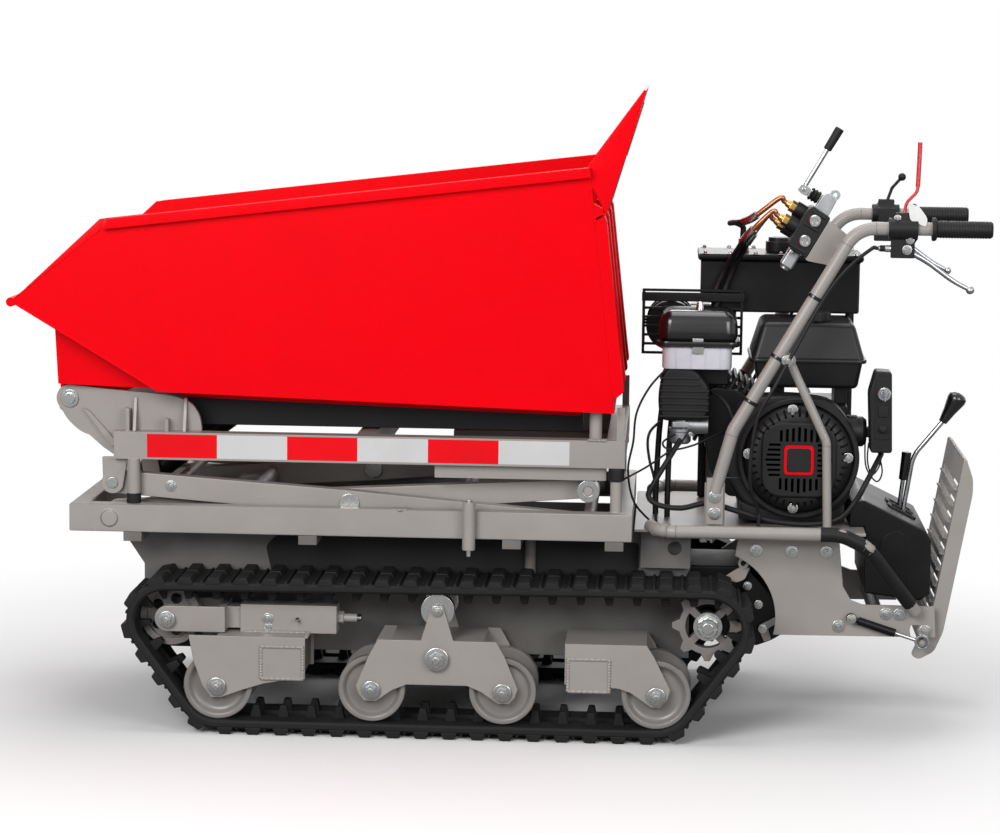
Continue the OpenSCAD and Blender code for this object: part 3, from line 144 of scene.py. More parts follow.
@dataclass(frozen=True)
class Finish:
    """One real surface: its colours, gloss and relief, with sizes in millimetres.

    Attributes:
        name: Name of the material, in a maker's words.
        colour: Main colour, sRGB hex.
        shade: Colour of the faint patches in it, sRGB hex.
        grain: How the surface was made, which sets its relief.
        roughness: Mean roughness.
        spread: How far the roughness wanders from patch to patch.
        metallic: 1 for bare metal, 0 for paint and plastic.
        coat: Weight of a clear gloss coat.
        clear: Weight of light that goes through.
        specular: Strength of the reflection at the surface.
        patch: Size of the colour patches.
        pitch: Size of the surface grain.
        relief: Height of the surface grain.
        scuff: Colour of rubbed or dusty places, sRGB hex, or empty.
        scuff_share: Share of the surface that is rubbed or dusty.
        scuff_patch: Size of the rubbed or dusty places.
    """

    name: str
    colour: str
    shade: str
    grain: Grain = Grain.PEEL
    roughness: float = 0.4
    spread: float = 0.06
    metallic: float = 0.0
    coat: float = 0.0
    clear: float = 0.0
    specular: float = 0.5
    patch: float = 140.0
    pitch: float = 2.2
    relief: float = 0.03
    scuff: str = ""
    scuff_share: float = 0.3
    scuff_patch: float = 26.0

    def material(self) -> Material:
        """Makes the material on first use, then hands out the same one.

        Returns:
            The Blender material of this finish.
        """
        found = bpy.data.materials.get(self.name)
        if found:
            return found
        made = bpy.data.materials.new(self.name)
        tree = empty_tree(made)
        place = add_node(tree, "ShaderNodeTexCoord", {}).outputs["Object"]
        patches = add_node(
            tree, "ShaderNodeTexNoise", {"Scale": 1 / (self.patch * MM), "Detail": 5.0, "Roughness": 0.6},
            {"Vector": place},
        )
        soft = add_node(
            tree, "ShaderNodeMapRange", {"From Min": 0.35, "From Max": 0.68},
            {"Value": patches.outputs["Fac"]},
        )
        tint = add_node(
            tree,
            "ShaderNodeMix",
            {"data_type": "RGBA", 6: linear(self.colour), 7: linear(self.shade)},
            {0: soft.outputs["Result"]},
        ).outputs[2]
        rough = add_node(
            tree,
            "ShaderNodeMapRange",
            {"To Min": self.roughness - self.spread, "To Max": self.roughness + self.spread},
            {"Value": patches.outputs["Fac"]},
        ).outputs["Result"]
        if self.scuff:
            tint = self.scuffed(tree, place, tint)
        height = self.height(tree, place)
        bump = add_node(
            tree, "ShaderNodeBump", {"Strength": 1.0, "Distance": self.relief * MM}, {"Height": height}
        ).outputs["Normal"]
        shader = add_node(
            tree,
            "ShaderNodeBsdfPrincipled",
            {
                "Metallic": self.metallic,
                "Specular IOR Level": self.specular,
                "Coat Weight": self.coat,
                "Coat Roughness": 0.12,
                "Transmission Weight": self.clear,
            },
            {"Base Color": tint, "Roughness": rough, "Normal": bump},
        )
        add_node(tree, "ShaderNodeOutputMaterial", {}, {"Surface": shader.outputs["BSDF"]})
        return made

    def scuffed(self, tree: Tree, place: Socket, tint: Socket) -> Socket:
        """Lays rubbed or dusty places over the colour.

        Args:
            tree: The material's node tree.
            place: Object coordinates.
            tint: The colour so far.

        Returns:
            The colour with the places in it.
        """
        rubbed = add_node(
            tree, "ShaderNodeTexNoise",
            {"Scale": 1 / (self.scuff_patch * MM), "Detail": 8.0, "Roughness": 0.75}, {"Vector": place},
        )
        edge = 0.72 - 0.4 * self.scuff_share
        share = add_node(
            tree, "ShaderNodeMapRange", {"From Min": edge, "From Max": edge + 0.16, "To Max": 0.75},
            {"Value": rubbed.outputs["Fac"]},
        )
        return add_node(
            tree, "ShaderNodeMix", {"data_type": "RGBA", 7: linear(self.scuff)},
            {0: share.outputs["Result"], 6: tint},
        ).outputs[2]

    def height(self, tree: Tree, place: Socket) -> Socket:
        """Adds the nodes of the surface relief.

        Args:
            tree: The material's node tree.
            place: Object coordinates.

        Returns:
            The socket that holds the height.
        """
        scale = 1 / (self.pitch * MM)
        if self.grain is Grain.PRISM:
            cells = add_node(
                tree, "ShaderNodeTexVoronoi", {"Scale": scale, "Randomness": 0.0}, {"Vector": place}
            )
            return cells.outputs["Distance"]
        if self.grain is Grain.BRUSH:
            drawn = add_node(tree, "ShaderNodeMapping", {"Scale": (0.12, 1.0, 0.12)}, {"Vector": place})
            place = drawn.outputs["Vector"]
        detail = 6.0 if self.grain is Grain.MOULD else 2.0
        noise = add_node(tree, "ShaderNodeTexNoise", {"Scale": scale, "Detail": detail}, {"Vector": place})
        return noise.outputs["Fac"]


# Gloss powder coat on sheet steel: a deep even red with a faint orange peel.
RED_ENAMEL = Finish(
    "red_powder_coat", "EE0010", "E6000F", roughness=0.32, spread=0.05, specular=0.07, pitch=2.6,
    relief=0.018,
)
# Satin powder coat on welded tube: a warm grey that dulls its highlights.
GREY_ENAMEL = Finish(
    "warm_grey_powder_coat", "9B9692", "938E8A", roughness=0.42, spread=0.06, coat=0.12, relief=0.03
)
# The same grey coat deep inside the chassis, painted darker to stand for the shade that falls there:
# painted shade.
SHADED_CHASSIS_ENAMEL = Finish(
    "painted_shade_chassis_coat", "726F6C", "65625F", roughness=0.5, spread=0.08, specular=0.3, patch=110.0,
    relief=0.05,
)
# The same coat over castings and turned wheels, a little cleaner.
WHEEL_ENAMEL = Finish(
    "grey_wheel_coat", "827E7B", "787471", roughness=0.36, spread=0.08, coat=0.2, patch=60.0
)
# Baked black paint on pressed steel and castings: dark, with a low sheen.
BLACK_ENAMEL = Finish(
    "baked_black_enamel", "0B0B0C", "111113", roughness=0.38, spread=0.08, specular=0.22, patch=80.0
)
# Cast iron and alloy under a thin black coat, with a sandy skin.
BLACK_CASTING = Finish(
    "black_coated_casting", "0E0E10", "171719", Grain.MOULD, 0.46, 0.1, specular=0.28, patch=50.0,
    pitch=3.0, relief=0.15,
)
# Moulded ABS with a fine spark-eroded texture, drawn coarser than life so that it shows.
BLACK_ABS = Finish(
    "textured_black_abs", "121214", "18181A", Grain.MOULD, 0.48, 0.08, specular=0.28, patch=90.0, pitch=1.4,
    relief=0.05,
)
# Smooth moulded plastic of lids and knobs: black with clear highlights.
GLOSS_ABS = Finish(
    "gloss_black_abs", "0C0C0E", "141416", Grain.MOULD, 0.22, 0.06, coat=0.3, patch=70.0, relief=0.01
)
# Rotomoulded tank plastic: black with a soft sheen.
TANK_PE = Finish(
    "rotomoulded_black_pe", "121214", "19191B", Grain.MOULD, 0.38, 0.06, specular=0.36, patch=80.0,
    pitch=2.0, relief=0.03,
)
# Vulcanised track rubber: dull, with a mould skin and rubbed brown places on the lugs.
TRACK_RUBBER = Finish(
    "vulcanised_track_rubber", "141415", "1C1B1B", Grain.MOULD, 0.66, 0.1, specular=0.24, patch=60.0,
    pitch=3.5, relief=0.25, scuff="3E3833", scuff_share=0.2,
)
# Soft grip and hose rubber: matt, with a fine skin.
SOFT_RUBBER = Finish(
    "soft_black_rubber", "101012", "161618", Grain.MOULD, 0.55, 0.08, specular=0.28, patch=40.0, pitch=1.2,
    relief=0.06,
)
# Zinc plated fasteners: bright, slightly blue and yellow in patches.
ZINC = Finish(
    "zinc_plated_steel", "C6CACE", "B6B4AA", Grain.MOULD, 0.26, 0.08, 1.0, patch=9.0, pitch=1.6,
    relief=0.008,
)
# Ground and chromed rods: mirror bright, with fine lines along them.
CHROME = Finish(
    "chromed_rod", "C6C9CC", "B9BDC1", Grain.BRUSH, 0.2, 0.04, 1.0, patch=40.0, pitch=3.0, relief=0.0002
)
# Polished lever alloy: bright, a little softer than chrome.
ALLOY = Finish(
    "polished_lever_alloy", "B4B6B9", "A6A8AC", Grain.BRUSH, 0.28, 0.06, 1.0, patch=30.0, pitch=3.0,
    relief=0.0003,
)
# Raw die-cast alloy of the carburettor and the valve's end caps: grey and grainy.
DIE_CAST = Finish(
    "raw_die_cast_alloy", "A5A7AA", "8E9094", Grain.MOULD, 0.45, 0.12, 0.9, patch=20.0, pitch=1.6,
    relief=0.1,
)
# Turned brass of the port fittings: warm yellow with fine turning lines.
BRASS = Finish(
    "turned_brass", "C9A566", "B68E50", Grain.BRUSH, 0.3, 0.06, 1.0, patch=12.0, pitch=0.8, relief=0.004
)
# Drawn copper pipe, slightly browned.
COPPER = Finish(
    "drawn_copper_pipe", "B57A57", "94583C", Grain.BRUSH, 0.34, 0.06, 1.0, patch=18.0, pitch=0.8,
    relief=0.004,
)
# Milky polypropylene of the filter base: pale, with a little light in it.
MILKY_PLASTIC = Finish(
    "milky_polypropylene", "DDDEE6", "CFD0DB", Grain.MOULD, 0.35, 0.06, clear=0.18, patch=50.0, relief=0.02
)
# White painted sheet of the cam plate: plain and even.
WHITE_SHEET = Finish("white_sheet", "E8E8E6", "DADAD8", roughness=0.35, patch=30.0)
# Red and white retroreflective film with its grid of prisms.
RED_FILM = Finish(
    "red_reflective_film", "EE0012", "E20010", Grain.PRISM, 0.3, 0.05, coat=0.08, specular=0.2, pitch=4.0,
    relief=0.05,
)
WHITE_FILM = Finish(
    "white_reflective_film", "CECECE", "C6C6C6", Grain.PRISM, 0.3, 0.05, coat=0.08, specular=0.2, pitch=4.0,
    relief=0.05,
)
# Red dipped sleeve of the drive lever: smooth and a little glossy.
RED_SLEEVE = Finish(
    "red_dipped_sleeve", "D2061B", "C00518", Grain.MOULD, 0.34, 0.05, coat=0.2, patch=30.0, relief=0.02
)
# Sheet behind the chassis side openings, almost black: painted shade standing for the unlit inside of the
# chassis.
DARK_HOLLOW = Finish("painted_shade_hollow", "050506", "0A0A0B", Grain.MOULD, 0.8, 0.05)


# Outlines


def arc(centre: Pair, radius: float, start: float, end: float, steps: int = 10) -> Outline:
    """Points on a part of a circle.

    Args:
        centre: Centre of the circle.
        radius: Its radius.
        start: First angle, in degrees.
        end: Last angle, in degrees.
        steps: Number of stretches.

    Returns:
        The points, both ends included.
    """
    angles = [math.radians(start + (end - start) * k / steps) for k in range(steps + 1)]
    return [(centre[0] + radius * math.cos(a), centre[1] + radius * math.sin(a)) for a in angles]


def bow(start: Pair, pull: Pair, end: Pair, steps: int = 8) -> Outline:
    """Points on a curve from start to end that bends towards pull.

    Args:
        start: First point.
        pull: Control point.
        end: Last point.
        steps: Number of stretches.

    Returns:
        The points, both ends included.
    """
    shares = [k / steps for k in range(steps + 1)]
    return [
        tuple((1 - t) ** 2 * a + 2 * t * (1 - t) * b + t * t * c for a, b, c in zip(start, pull, end))
        for t in shares
    ]


def rounded(points: Outline, radius: float, steps: int = 5) -> Outline:
    """Rounds each corner of a closed outline.

    Args:
        points: Corners in order.
        radius: Radius of the rounding, limited by the sides.
        steps: Stretches per corner.

    Returns:
        The rounded outline.
    """
    made: Outline = []
    count = len(points)
    for i, corner in enumerate(points):
        here = Vector(corner)
        back, ahead = Vector(points[i - 1]) - here, Vector(points[(i + 1) % count]) - here
        reach = min(radius, back.length * 0.45, ahead.length * 0.45)
        made += bow(here + back.normalized() * reach, here, here + ahead.normalized() * reach, steps)
    return made


def pad(lo: Pair, hi: Pair, radius: float, steps: int = 5) -> Outline:
    """Outline of a rectangle with round corners.

    Args:
        lo: Lowest corner.
        hi: Highest corner.
        radius: Radius of the corners.
        steps: Stretches per corner.

    Returns:
        The outline.
    """
    return rounded([lo, (hi[0], lo[1]), hi, (lo[0], hi[1])], radius, steps)


def smooth_route(points: Sequence[Point], steps: int = 8) -> list[Vector]:
    """Points on a smooth curve through a route's points.

    Args:
        points: The route, in order.
        steps: Stretches between two points.

    Returns:
        The curve's points.
    """
    route = [Vector(p) for p in points]
    last = len(route) - 1
    made = []
    for i in range(last):
        a, b, c, d = route[max(i - 1, 0)], route[i], route[i + 1], route[min(i + 2, last)]
        for k in range(steps):
            t = k / steps
            made.append(
                0.5 * (
                    2 * b + (c - a) * t + (
                        2 * a - 5 * b + 4 * c - d
                    ) * t**2 + (3 * b - a - 3 * c + d) * t**3
                )
            )
    return [*made, route[last]]


def bent_route(points: Sequence[Point], bend: float, steps: int = 8) -> list[Vector]:
    """Points on straight lengths with a round bend at each corner.

    Args:
        points: Corners of the route.
        bend: How far each bend reaches from its corner.
        steps: Stretches per bend.

    Returns:
        The route's points.
    """
    route = [Vector(p) for p in points]
    made = [route[0]]
    for before, here, after in zip(route, route[1:], route[2:]):
        reach = min(bend, (before - here).length * 0.48, (after - here).length * 0.48)
        start = here + (before - here).normalized() * reach
        end = here + (after - here).normalized() * reach
        for k in range(steps + 1):
            t = k / steps
            made.append((1 - t) ** 2 * start + 2 * t * (1 - t) * here + t * t * end)
    return [*made, route[-1]]


# Modelling


class Side(Enum):
    """The plane in which an outline is drawn, and the axis along which it is pulled out."""

    XZ = (0, 2, 1)
    YZ = (1, 2, 0)
    XY = (0, 1, 2)

    def point(self, u: float, v: float, depth: float) -> Vector:
        """Places an outline's point at a depth.

        Args:
            u: First measure in the plane.
            v: Second measure in the plane.
            depth: Measure along the axis.

        Returns:
            The point in the machine.
        """
        made = Vector(ORIGIN)
        for axis, measure in zip(self.value, (u, v, depth)):
            made[axis] = measure
        return made


def take(obj: Object | None) -> None:
    """Selects one object alone and makes it active.

    Args:
        obj: The object, or None to select nothing.
    """
    if bpy.context.object and bpy.context.object.mode != "OBJECT":
        bpy.ops.object.mode_set(mode="OBJECT")
    bpy.ops.object.select_all(action="DESELECT")
    bpy.context.view_layer.objects.active = obj
    if obj:
        obj.select_set(True)


def added(name: str) -> Object:
    """Names the object that was just added or joined.

    Args:
        name: Name of the object and its mesh.

    Returns:
        The object.
    """
    obj = bpy.context.object
    obj.name = name
    obj.data.name = name
    return obj


def edit(obj: Object) -> None:
    """Opens an object in edit mode with all of it selected.

    Args:
        obj: The object.
    """
    take(obj)
    bpy.ops.object.mode_set(mode="EDIT")
    bpy.ops.mesh.select_all(action="SELECT")


def close_edit() -> None:
    """Goes back to object mode."""
    bpy.ops.object.mode_set(mode="OBJECT")


def facing(axis: Point) -> Matrix:
    """Matrix that turns the upward direction to an axis."""
    return Vector(axis).to_track_quat("Z", "Y").to_matrix().to_4x4()


def turn_about(axle: Pair, angle: float) -> Matrix:
    """Matrix of a turn about an axle that lies across the machine.

    Args:
        axle: x and z of the axle.
        angle: Angle of the turn, in degrees.

    Returns:
        The matrix.
    """
    hub = Matrix.Translation((axle[0], 0, axle[1]))
    return hub @ Matrix.Rotation(math.radians(angle), 4, "Y") @ hub.inverted()


def soften(obj: Object, width: float, steps: int = 2, angle: float = 32.0) -> Object:
    """Rounds the sharp edges of an object.

    Args:
        obj: The object.
        width: Width of the rounding.
        steps: Faces across the rounding.
        angle: Least angle of an edge that is rounded, in degrees.

    Returns:
        The same object.
    """
    if width <= 0:
        return obj
    take(obj)
    bpy.ops.object.modifier_add(type="BEVEL")
    bevel = obj.modifiers[-1]
    bevel.width = width
    bevel.segments = steps
    bevel.limit_method = "ANGLE"
    bevel.angle_limit = math.radians(angle)
    bevel.use_clamp_overlap = False
    bpy.ops.object.modifier_apply(modifier=bevel.name)
    return obj


def block(name: str, lo: Point, hi: Point, edge: float = 2.0, steps: int = 2, top: float = 1.0) -> Object:
    """A box with rounded edges, which may draw in towards its top.

    Args:
        name: Name of the piece.
        lo: Lowest corner.
        hi: Highest corner.
        edge: Width of the rounding.
        steps: Faces across the rounding.
        top: Share of the size that the top keeps.

    Returns:
        The new object.
    """
    take(None)
    bpy.ops.mesh.primitive_cube_add(size=1.0, location=[(a + b) / 2 for a, b in zip(lo, hi)])
    obj = added(name)
    obj.scale = [b - a for a, b in zip(lo, hi)]
    bpy.ops.object.transform_apply()
    if top != 1.0:
        centre = [(a + b) / 2 for a, b in zip(lo, hi)]
        for vertex in obj.data.vertices:
            if vertex.co.z > centre[2]:
                vertex.co.x = centre[0] + (vertex.co.x - centre[0]) * top
                vertex.co.y = centre[1] + (vertex.co.y - centre[1]) * top
    return soften(obj, edge, steps)


def rod(
    name: str, start: Point, end: Point, radius: float, edge: float = 0.8, sides: int = 28,
    tip: float | None = None,
) -> Object:
    """A round bar, or a cone where the tip has its own radius.

    Args:
        name: Name of the piece.
        start: Centre of the first end.
        end: Centre of the last end.
        radius: Radius at the start.
        edge: Width of the rounding at the ends.
        sides: Faces round it.
        tip: Radius at the end, if it differs.

    Returns:
        The new object.
    """
    take(None)
    a, b = Vector(start), Vector(end)
    turn = (b - a).to_track_quat("Z", "Y").to_euler()
    bpy.ops.mesh.primitive_cone_add(
        vertices=sides,
        radius1=radius,
        radius2=radius if tip is None else tip,
        depth=(b - a).length,
        location=(a + b) / 2,
        rotation=turn,
    )
    obj = added(name)
    bpy.ops.object.transform_apply()
    return soften(obj, edge)


def plate(
    name: str, outline: Outline, near: float, far: float, edge: float = 1.2, side: Side = Side.XZ,
    steps: int = 2,
) -> Object:
    """A flat plate cut to an outline.

    Args:
        name: Name of the piece.
        outline: Corners of the outline, in order.
        near: Where the plate starts along its axis.
        far: Where it ends.
        edge: Width of the rounding.
        side: The plane of the outline.
        steps: Faces across the rounding.

    Returns:
        The new object.
    """
    take(None)
    bpy.ops.mesh.primitive_circle_add(vertices=len(outline), radius=1.0, fill_type="NGON")
    obj = added(name)
    for vertex, (u, v) in zip(obj.data.vertices, outline):
        vertex.co = side.point(u, v, near)
    edit(obj)
    bpy.ops.mesh.extrude_region_move(TRANSFORM_OT_translate={"value": side.point(0, 0, far - near)})
    bpy.ops.mesh.select_all(action="SELECT")
    bpy.ops.mesh.normals_make_consistent(inside=False)
    close_edit()
    return soften(obj, edge, steps)


def lathe(name: str, profile: Outline, base: Point, axis: Point, steps: int = 48) -> Object:
    """A turned piece.

    Args:
        name: Name of the piece.
        profile: Closed section as radius and distance along the axis.
        base: Where the distance is 0.
        axis: Direction of the axis.
        steps: Faces round it.

    Returns:
        The new object.
    """
    take(None)
    bpy.ops.mesh.primitive_circle_add(vertices=len(profile), radius=1.0)
    obj = added(name)
    for vertex, (radius, along) in zip(obj.data.vertices, profile):
        vertex.co = (radius, 0.0, along)
    edit(obj)
    bpy.ops.mesh.spin(steps=steps, angle=2 * math.pi, center=ORIGIN, axis=UP)
    bpy.ops.mesh.select_all(action="SELECT")
    bpy.ops.mesh.remove_doubles(threshold=MERGE_GAP)
    bpy.ops.mesh.delete_loose()
    bpy.ops.mesh.select_all(action="SELECT")
    bpy.ops.mesh.normals_make_consistent(inside=False)
    close_edit()
    obj.data.transform(Matrix.Translation(base) @ facing(axis))
    return obj


def sweep(
    name: str, route: Sequence[Vector], radius: float, radii: Callable[[int], float] | None = None
) -> Object:
    """A tube along a route.

    Args:
        name: Name of the piece.
        route: Points of its centre line.
        radius: Radius of the tube.
        radii: Share of the radius at each point, if it varies.

    Returns:
        The new object, as a mesh.
    """
    curve = bpy.data.curves.new(name, "CURVE")
    curve.dimensions = "3D"
    curve.bevel_depth = radius
    curve.bevel_resolution = 3
    curve.use_fill_caps = True
    spline = curve.splines.new("POLY")
    spline.points.add(len(route) - 1)
    for i, (point, place) in enumerate(zip(spline.points, route)):
        point.co = (*place, 1.0)
        point.radius = radii(i) if radii else 1.0
    obj = bpy.data.objects.new(name, curve)
    bpy.context.scene.collection.objects.link(obj)
    take(obj)
    bpy.ops.object.convert(target="MESH")
    return bpy.context.object


def join(name: str, pieces: Sequence[Object]) -> Object:
    """Joins objects to one.

    Args:
        name: Name of the joined piece.
        pieces: The objects.

    Returns:
        The joined object.
    """
    take(pieces[0])
    for piece in pieces:
        piece.select_set(True)
    if len(pieces) > 1:
        bpy.ops.object.join()
    return added(name)


def copy_of(obj: Object, matrix: Matrix) -> Object:
    """Copies an object with a mesh of its own.

    Args:
        obj: The model.
        matrix: Where the copy goes.

    Returns:
        The copy.
    """
    made = obj.copy()
    made.data = obj.data.copy()
    made.data.transform(matrix)
    if matrix.is_negative:
        made.data.flip_normals()
    bpy.context.scene.collection.objects.link(made)
    return made


def both_sides(obj: Object) -> Object:
    """Joins an object with its mirror image on the other side of the machine."""
    return join(obj.name, [obj, copy_of(obj, Matrix.Scale(-1, 4, RIGHT))])


def cut(obj: Object, tool: Object) -> Object:
    """Cuts one object out of another.

    Args:
        obj: What is cut.
        tool: What is taken away, which is used up.

    Returns:
        The cut object.
    """
    take(obj)
    bpy.ops.object.modifier_add(type="BOOLEAN")
    saw = obj.modifiers[-1]
    saw.operation = "DIFFERENCE"
    saw.solver = "EXACT"
    saw.object = tool
    bpy.ops.object.modifier_apply(modifier=saw.name)
    bpy.data.objects.remove(tool)
    return obj


def refined(node: str, edge: float, steps: int = 2, merge: bool = True) -> Object:
    """Copies a node of the frame with merged faces and rounded edges.

    Args:
        node: Name of the node.
        edge: Width of the rounding.
        steps: Faces across the rounding.
        merge: Whether flat neighbours become one face first.

    Returns:
        The copy, which stands for the node.
    """
    mesh = frame["nodes"][node].data.copy()
    mesh.transform(Matrix.Scale(1 / MM, 4))
    obj = bpy.data.objects.new(f"{node}_finished", mesh)
    bpy.context.scene.collection.objects.link(obj)
    take(obj)
    bpy.ops.mesh.customdata_custom_splitnormals_clear()
    edit(obj)
    bpy.ops.mesh.remove_doubles(threshold=MERGE_GAP)
    if merge:
        bpy.ops.mesh.dissolve_limited(angle_limit=math.radians(FLAT_ANGLE))
    close_edit()
    soften(obj, edge, steps)
    return obj


def hand_over(piece: Object, body: str, finish: Finish, slot: str, *stands_for: str) -> Object:
    """Finishes a piece: metres, material, shading, the body it rides on and the nodes it stands for.

    Args:
        piece: The modelled piece, in millimetres.
        body: Body of the frame that carries it.
        finish: Its finish.
        slot: The record's material slot; not used.
        stands_for: Nodes that it replaces.

    Returns:
        The same piece.
    """
    piece.data.transform(Matrix.Scale(MM, 4))
    piece.data.materials.clear()
    piece.data.materials.append(finish.material())
    take(piece)
    bpy.ops.object.shade_smooth_by_angle(angle=math.radians(SMOOTH_ANGLE))
    bpy.ops.object.modifier_add(type="WEIGHTED_NORMAL")
    piece.modifiers[-1].keep_sharp = True
    bpy.ops.object.modifier_apply(modifier=piece.modifiers[-1].name)
    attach(piece, body)
    if stands_for:
        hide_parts(*stands_for)
    LOG.info("%s rides on %s, %d faces", piece.name, body, len(piece.data.polygons))
    return piece


# Body that carries what doesn't move, and slots of the record
CHASSIS = "chassis"
RED, GREY, RUBBER, GRIP = "red_paint", "grey_paint", "track_rubber", "grip_rubber"
PLASTIC, BLACK, STEEL, CAST = "black_plastic", "black_paint", "bright_steel", "cast_alloy"


# Fasteners and welds


@dataclass(frozen=True)
class Bolt:
    """A hex bolt head or nut on a washer.

    Attributes:
        place: Centre of the seat.
        facing: Direction the head looks.
        size: Radius over the corners of the head.
    """

    place: Point
    facing: Point = LEFT
    size: float = 10.0


@dataclass
class FastenerSet:
    """All bolts of one sub-assembly, copied from one modelled bolt.

    Attributes:
        name: Name of the piece.
        body: Body that carries the bolts.
        bolts: Where they sit.
        twist: Turn of each bolt past the one before it, in degrees.
    """

    name: str
    body: str
    bolts: list[Bolt]
    twist: float = 17.0

    def model(self) -> Object:
        """Models one bolt of head radius 1, looking up.

        Returns:
            The model.
        """
        ring = [(0.4, 0), (1.42, 0), (1.5, 0.06), (1.5, 0.16), (1.42, 0.22), (0.4, 0.22)]
        tip = [(0, 0.9), (0.84, 0.9), (0.74, 0.99), (0.48, 0.99), (0.48, 1.3), (0.4, 1.38), (0, 1.38)]
        washer = lathe("washer", ring, ORIGIN, UP, 24)
        head = rod("head", (0, 0, 0.2), (0, 0, 0.95), 1.0, 0.0, 6)
        crown = lathe("crown", tip, ORIGIN, UP, 20)
        soften(head, 0.035, 1)
        return join("bolt_model", [washer, head, crown])

    def build(self) -> Object:
        """Copies the bolt to each place.

        Returns:
            The joined bolts.
        """
        model = self.model()
        copies = []
        for i, bolt in enumerate(self.bolts):
            seat = Matrix.Translation(bolt.place) @ facing(bolt.facing)
            spin = Matrix.Rotation(math.radians(self.twist * i), 4, "Z")
            copies.append(copy_of(model, seat @ spin @ Matrix.Scale(bolt.size, 4)))
        bpy.data.objects.remove(model)
        return hand_over(join(self.name, copies), self.body, ZINC, STEEL)


@dataclass
class WeldSet:
    """Weld beads of one sub-assembly.

    Attributes:
        name: Name of the piece.
        body: Body that carries the beads.
        runs: Corners of each bead.
        size: Radius of a bead.
        ripple: Distance between two ripples.
        finish: Finish of the beads.
        slot: The record's material slot.
    """

    name: str
    body: str
    runs: list[list[Point]]
    size: float = 3.8
    ripple: float = 4.0
    finish: Finish = GREY_ENAMEL
    slot: str = GREY

    def bead(self, corners: list[Point]) -> Object:
        """Lays one bead along its corners.

        Args:
            corners: The route of the bead.

        Returns:
            The bead.
        """
        route = [Vector(corners[0])]
        for a, b in zip(corners, corners[1:]):
            start, end = Vector(a), Vector(b)
            count = max(2, round((end - start).length / (self.ripple / 2)))
            route += [start.lerp(end, k / count) for k in range(1, count + 1)]
        return sweep("bead", route, self.size, lambda i: 1.0 if i % 2 else 0.72 + 0.1 * math.sin(i * 1.7))

    def build(self) -> Object:
        """Lays all beads on both sides.

        Returns:
            The joined beads.
        """
        beads = join(self.name, [self.bead(run) for run in self.runs])
        return hand_over(both_sides(beads), self.body, self.finish, self.slot)


# Places of the running gear: the left track across the machine, axles as x and z, rollers along it
TRACK_CENTRE = -310.0
DRIVE_AXLE: Pair = (464.0, 246.0)
IDLER_AXLE: Pair = (-700.0, 244.0)
ROLLER_HEIGHT = 104.5
END_ROLLERS: Pair = (-588.0, 356.0)
BOGIE_ROLLERS: Pair = (-255.0, 27.0)
BOGIE_PIVOT = -114.0


# Sub-assemblies


@dataclass
class PlainNodes:
    """Nodes whose solids have the real shape: they keep it and get rounded edges and a finish.

    Attributes:
        unmerged: Nodes whose flat neighbours stay separate faces.
        finishes: Finish, slot and width of the rounded edges of each node.
    """

    unmerged: tuple[str, ...] = ("bin", "chassis_frame", "upper_frame")
    finishes: dict[str, tuple[Finish, str, float]] = field(default_factory=lambda: {
        # The chassis frame takes the darker coat: painted shade.
        "chassis_frame": (SHADED_CHASSIS_ENAMEL, GREY, 1.2),
        "lift_base_frame": (GREY_ENAMEL, GREY, 3.5),
        "engine_deck": (GREY_ENAMEL, GREY, 1.4),
        "rear_side_plates": (GREY_ENAMEL, GREY, 1.0),
        "transmission": (BLACK_CASTING, CAST, 5.0),
        "sprocket_left": (WHEEL_ENAMEL, GREY, 1.6),
        "sprocket_right": (WHEEL_ENAMEL, GREY, 1.6),
        "idler_yokes": (GREY_ENAMEL, GREY, 2.0),
        "idler_wheels": (WHEEL_ENAMEL, GREY, 1.6),
        "carrier_rollers": (ZINC, STEEL, 1.2),
        "inner_arms": (GREY_ENAMEL, GREY, 2.2),
        "outer_arms": (GREY_ENAMEL, GREY, 2.2),
        "upper_arm_rollers": (ZINC, STEEL, 1.0),
        "lower_arm_rollers": (ZINC, STEEL, 1.0),
        "centre_bolts": (ZINC, STEEL, 1.0),
        "upper_frame": (GREY_ENAMEL, GREY, 1.2),
        "frame_pins": (ZINC, STEEL, 1.0),
        "rest_buffers": (SOFT_RUBBER, RUBBER, 2.0),
        "bin": (RED_ENAMEL, RED, 1.2),
        "lift_barrels": (BLACK_ENAMEL, BLACK, 0.8),
        "lift_rods": (CHROME, STEEL, 1.0),
        "tip_barrel": (BLACK_ENAMEL, BLACK, 1.2),
        "tip_rod": (CHROME, STEEL, 1.0),
        "engine_block": (BLACK_CASTING, CAST, 2.0),
        "muffler": (BLACK_ENAMEL, STEEL, 1.0),
        "hydraulic_tank": (BLACK_ENAMEL, BLACK, 5.0),
        "handlebars": (GREY_ENAMEL, GREY, 1.0),
        "handlebar_braces": (GREY_ENAMEL, GREY, 0.8),
        "roller_brackets": (GREY_ENAMEL, GREY, 1.4),
        "bogies": (GREY_ENAMEL, GREY, 1.4),
        "fuel_cap": (BLACK_ABS, PLASTIC, 1.4),
        "muffler_guard": (BLACK_ENAMEL, BLACK, 0.9),
        "tank_filler_cap": (BLACK_ABS, PLASTIC, 2.0),
        "ignition_key": (ALLOY, STEEL, 0.8),
        "lever_housings": (BLACK_ABS, PLASTIC, 2.0),
        "console_cover": (BLACK_ENAMEL, PLASTIC, 4.0),
        "throttle_lever": (BLACK_ABS, BLACK, 0.8),
        "control_cables": (SOFT_RUBBER, RUBBER, 0.0),
        "gas_spring_barrel": (BLACK_ENAMEL, BLACK, 0.8),
        "gas_spring_rod": (CHROME, STEEL, 0.6),
    })

    def build(self) -> None:
        """Finishes each node in turn."""
        bodies = frame["record"]["behaviour"]["bodies"]
        carriers = {node: body for body, nodes in bodies.items() for node in nodes}
        for node, (finish, slot, edge) in self.finishes.items():
            piece = refined(node, edge, merge=node not in self.unmerged)
            hand_over(piece, carriers[node], finish, slot, node)


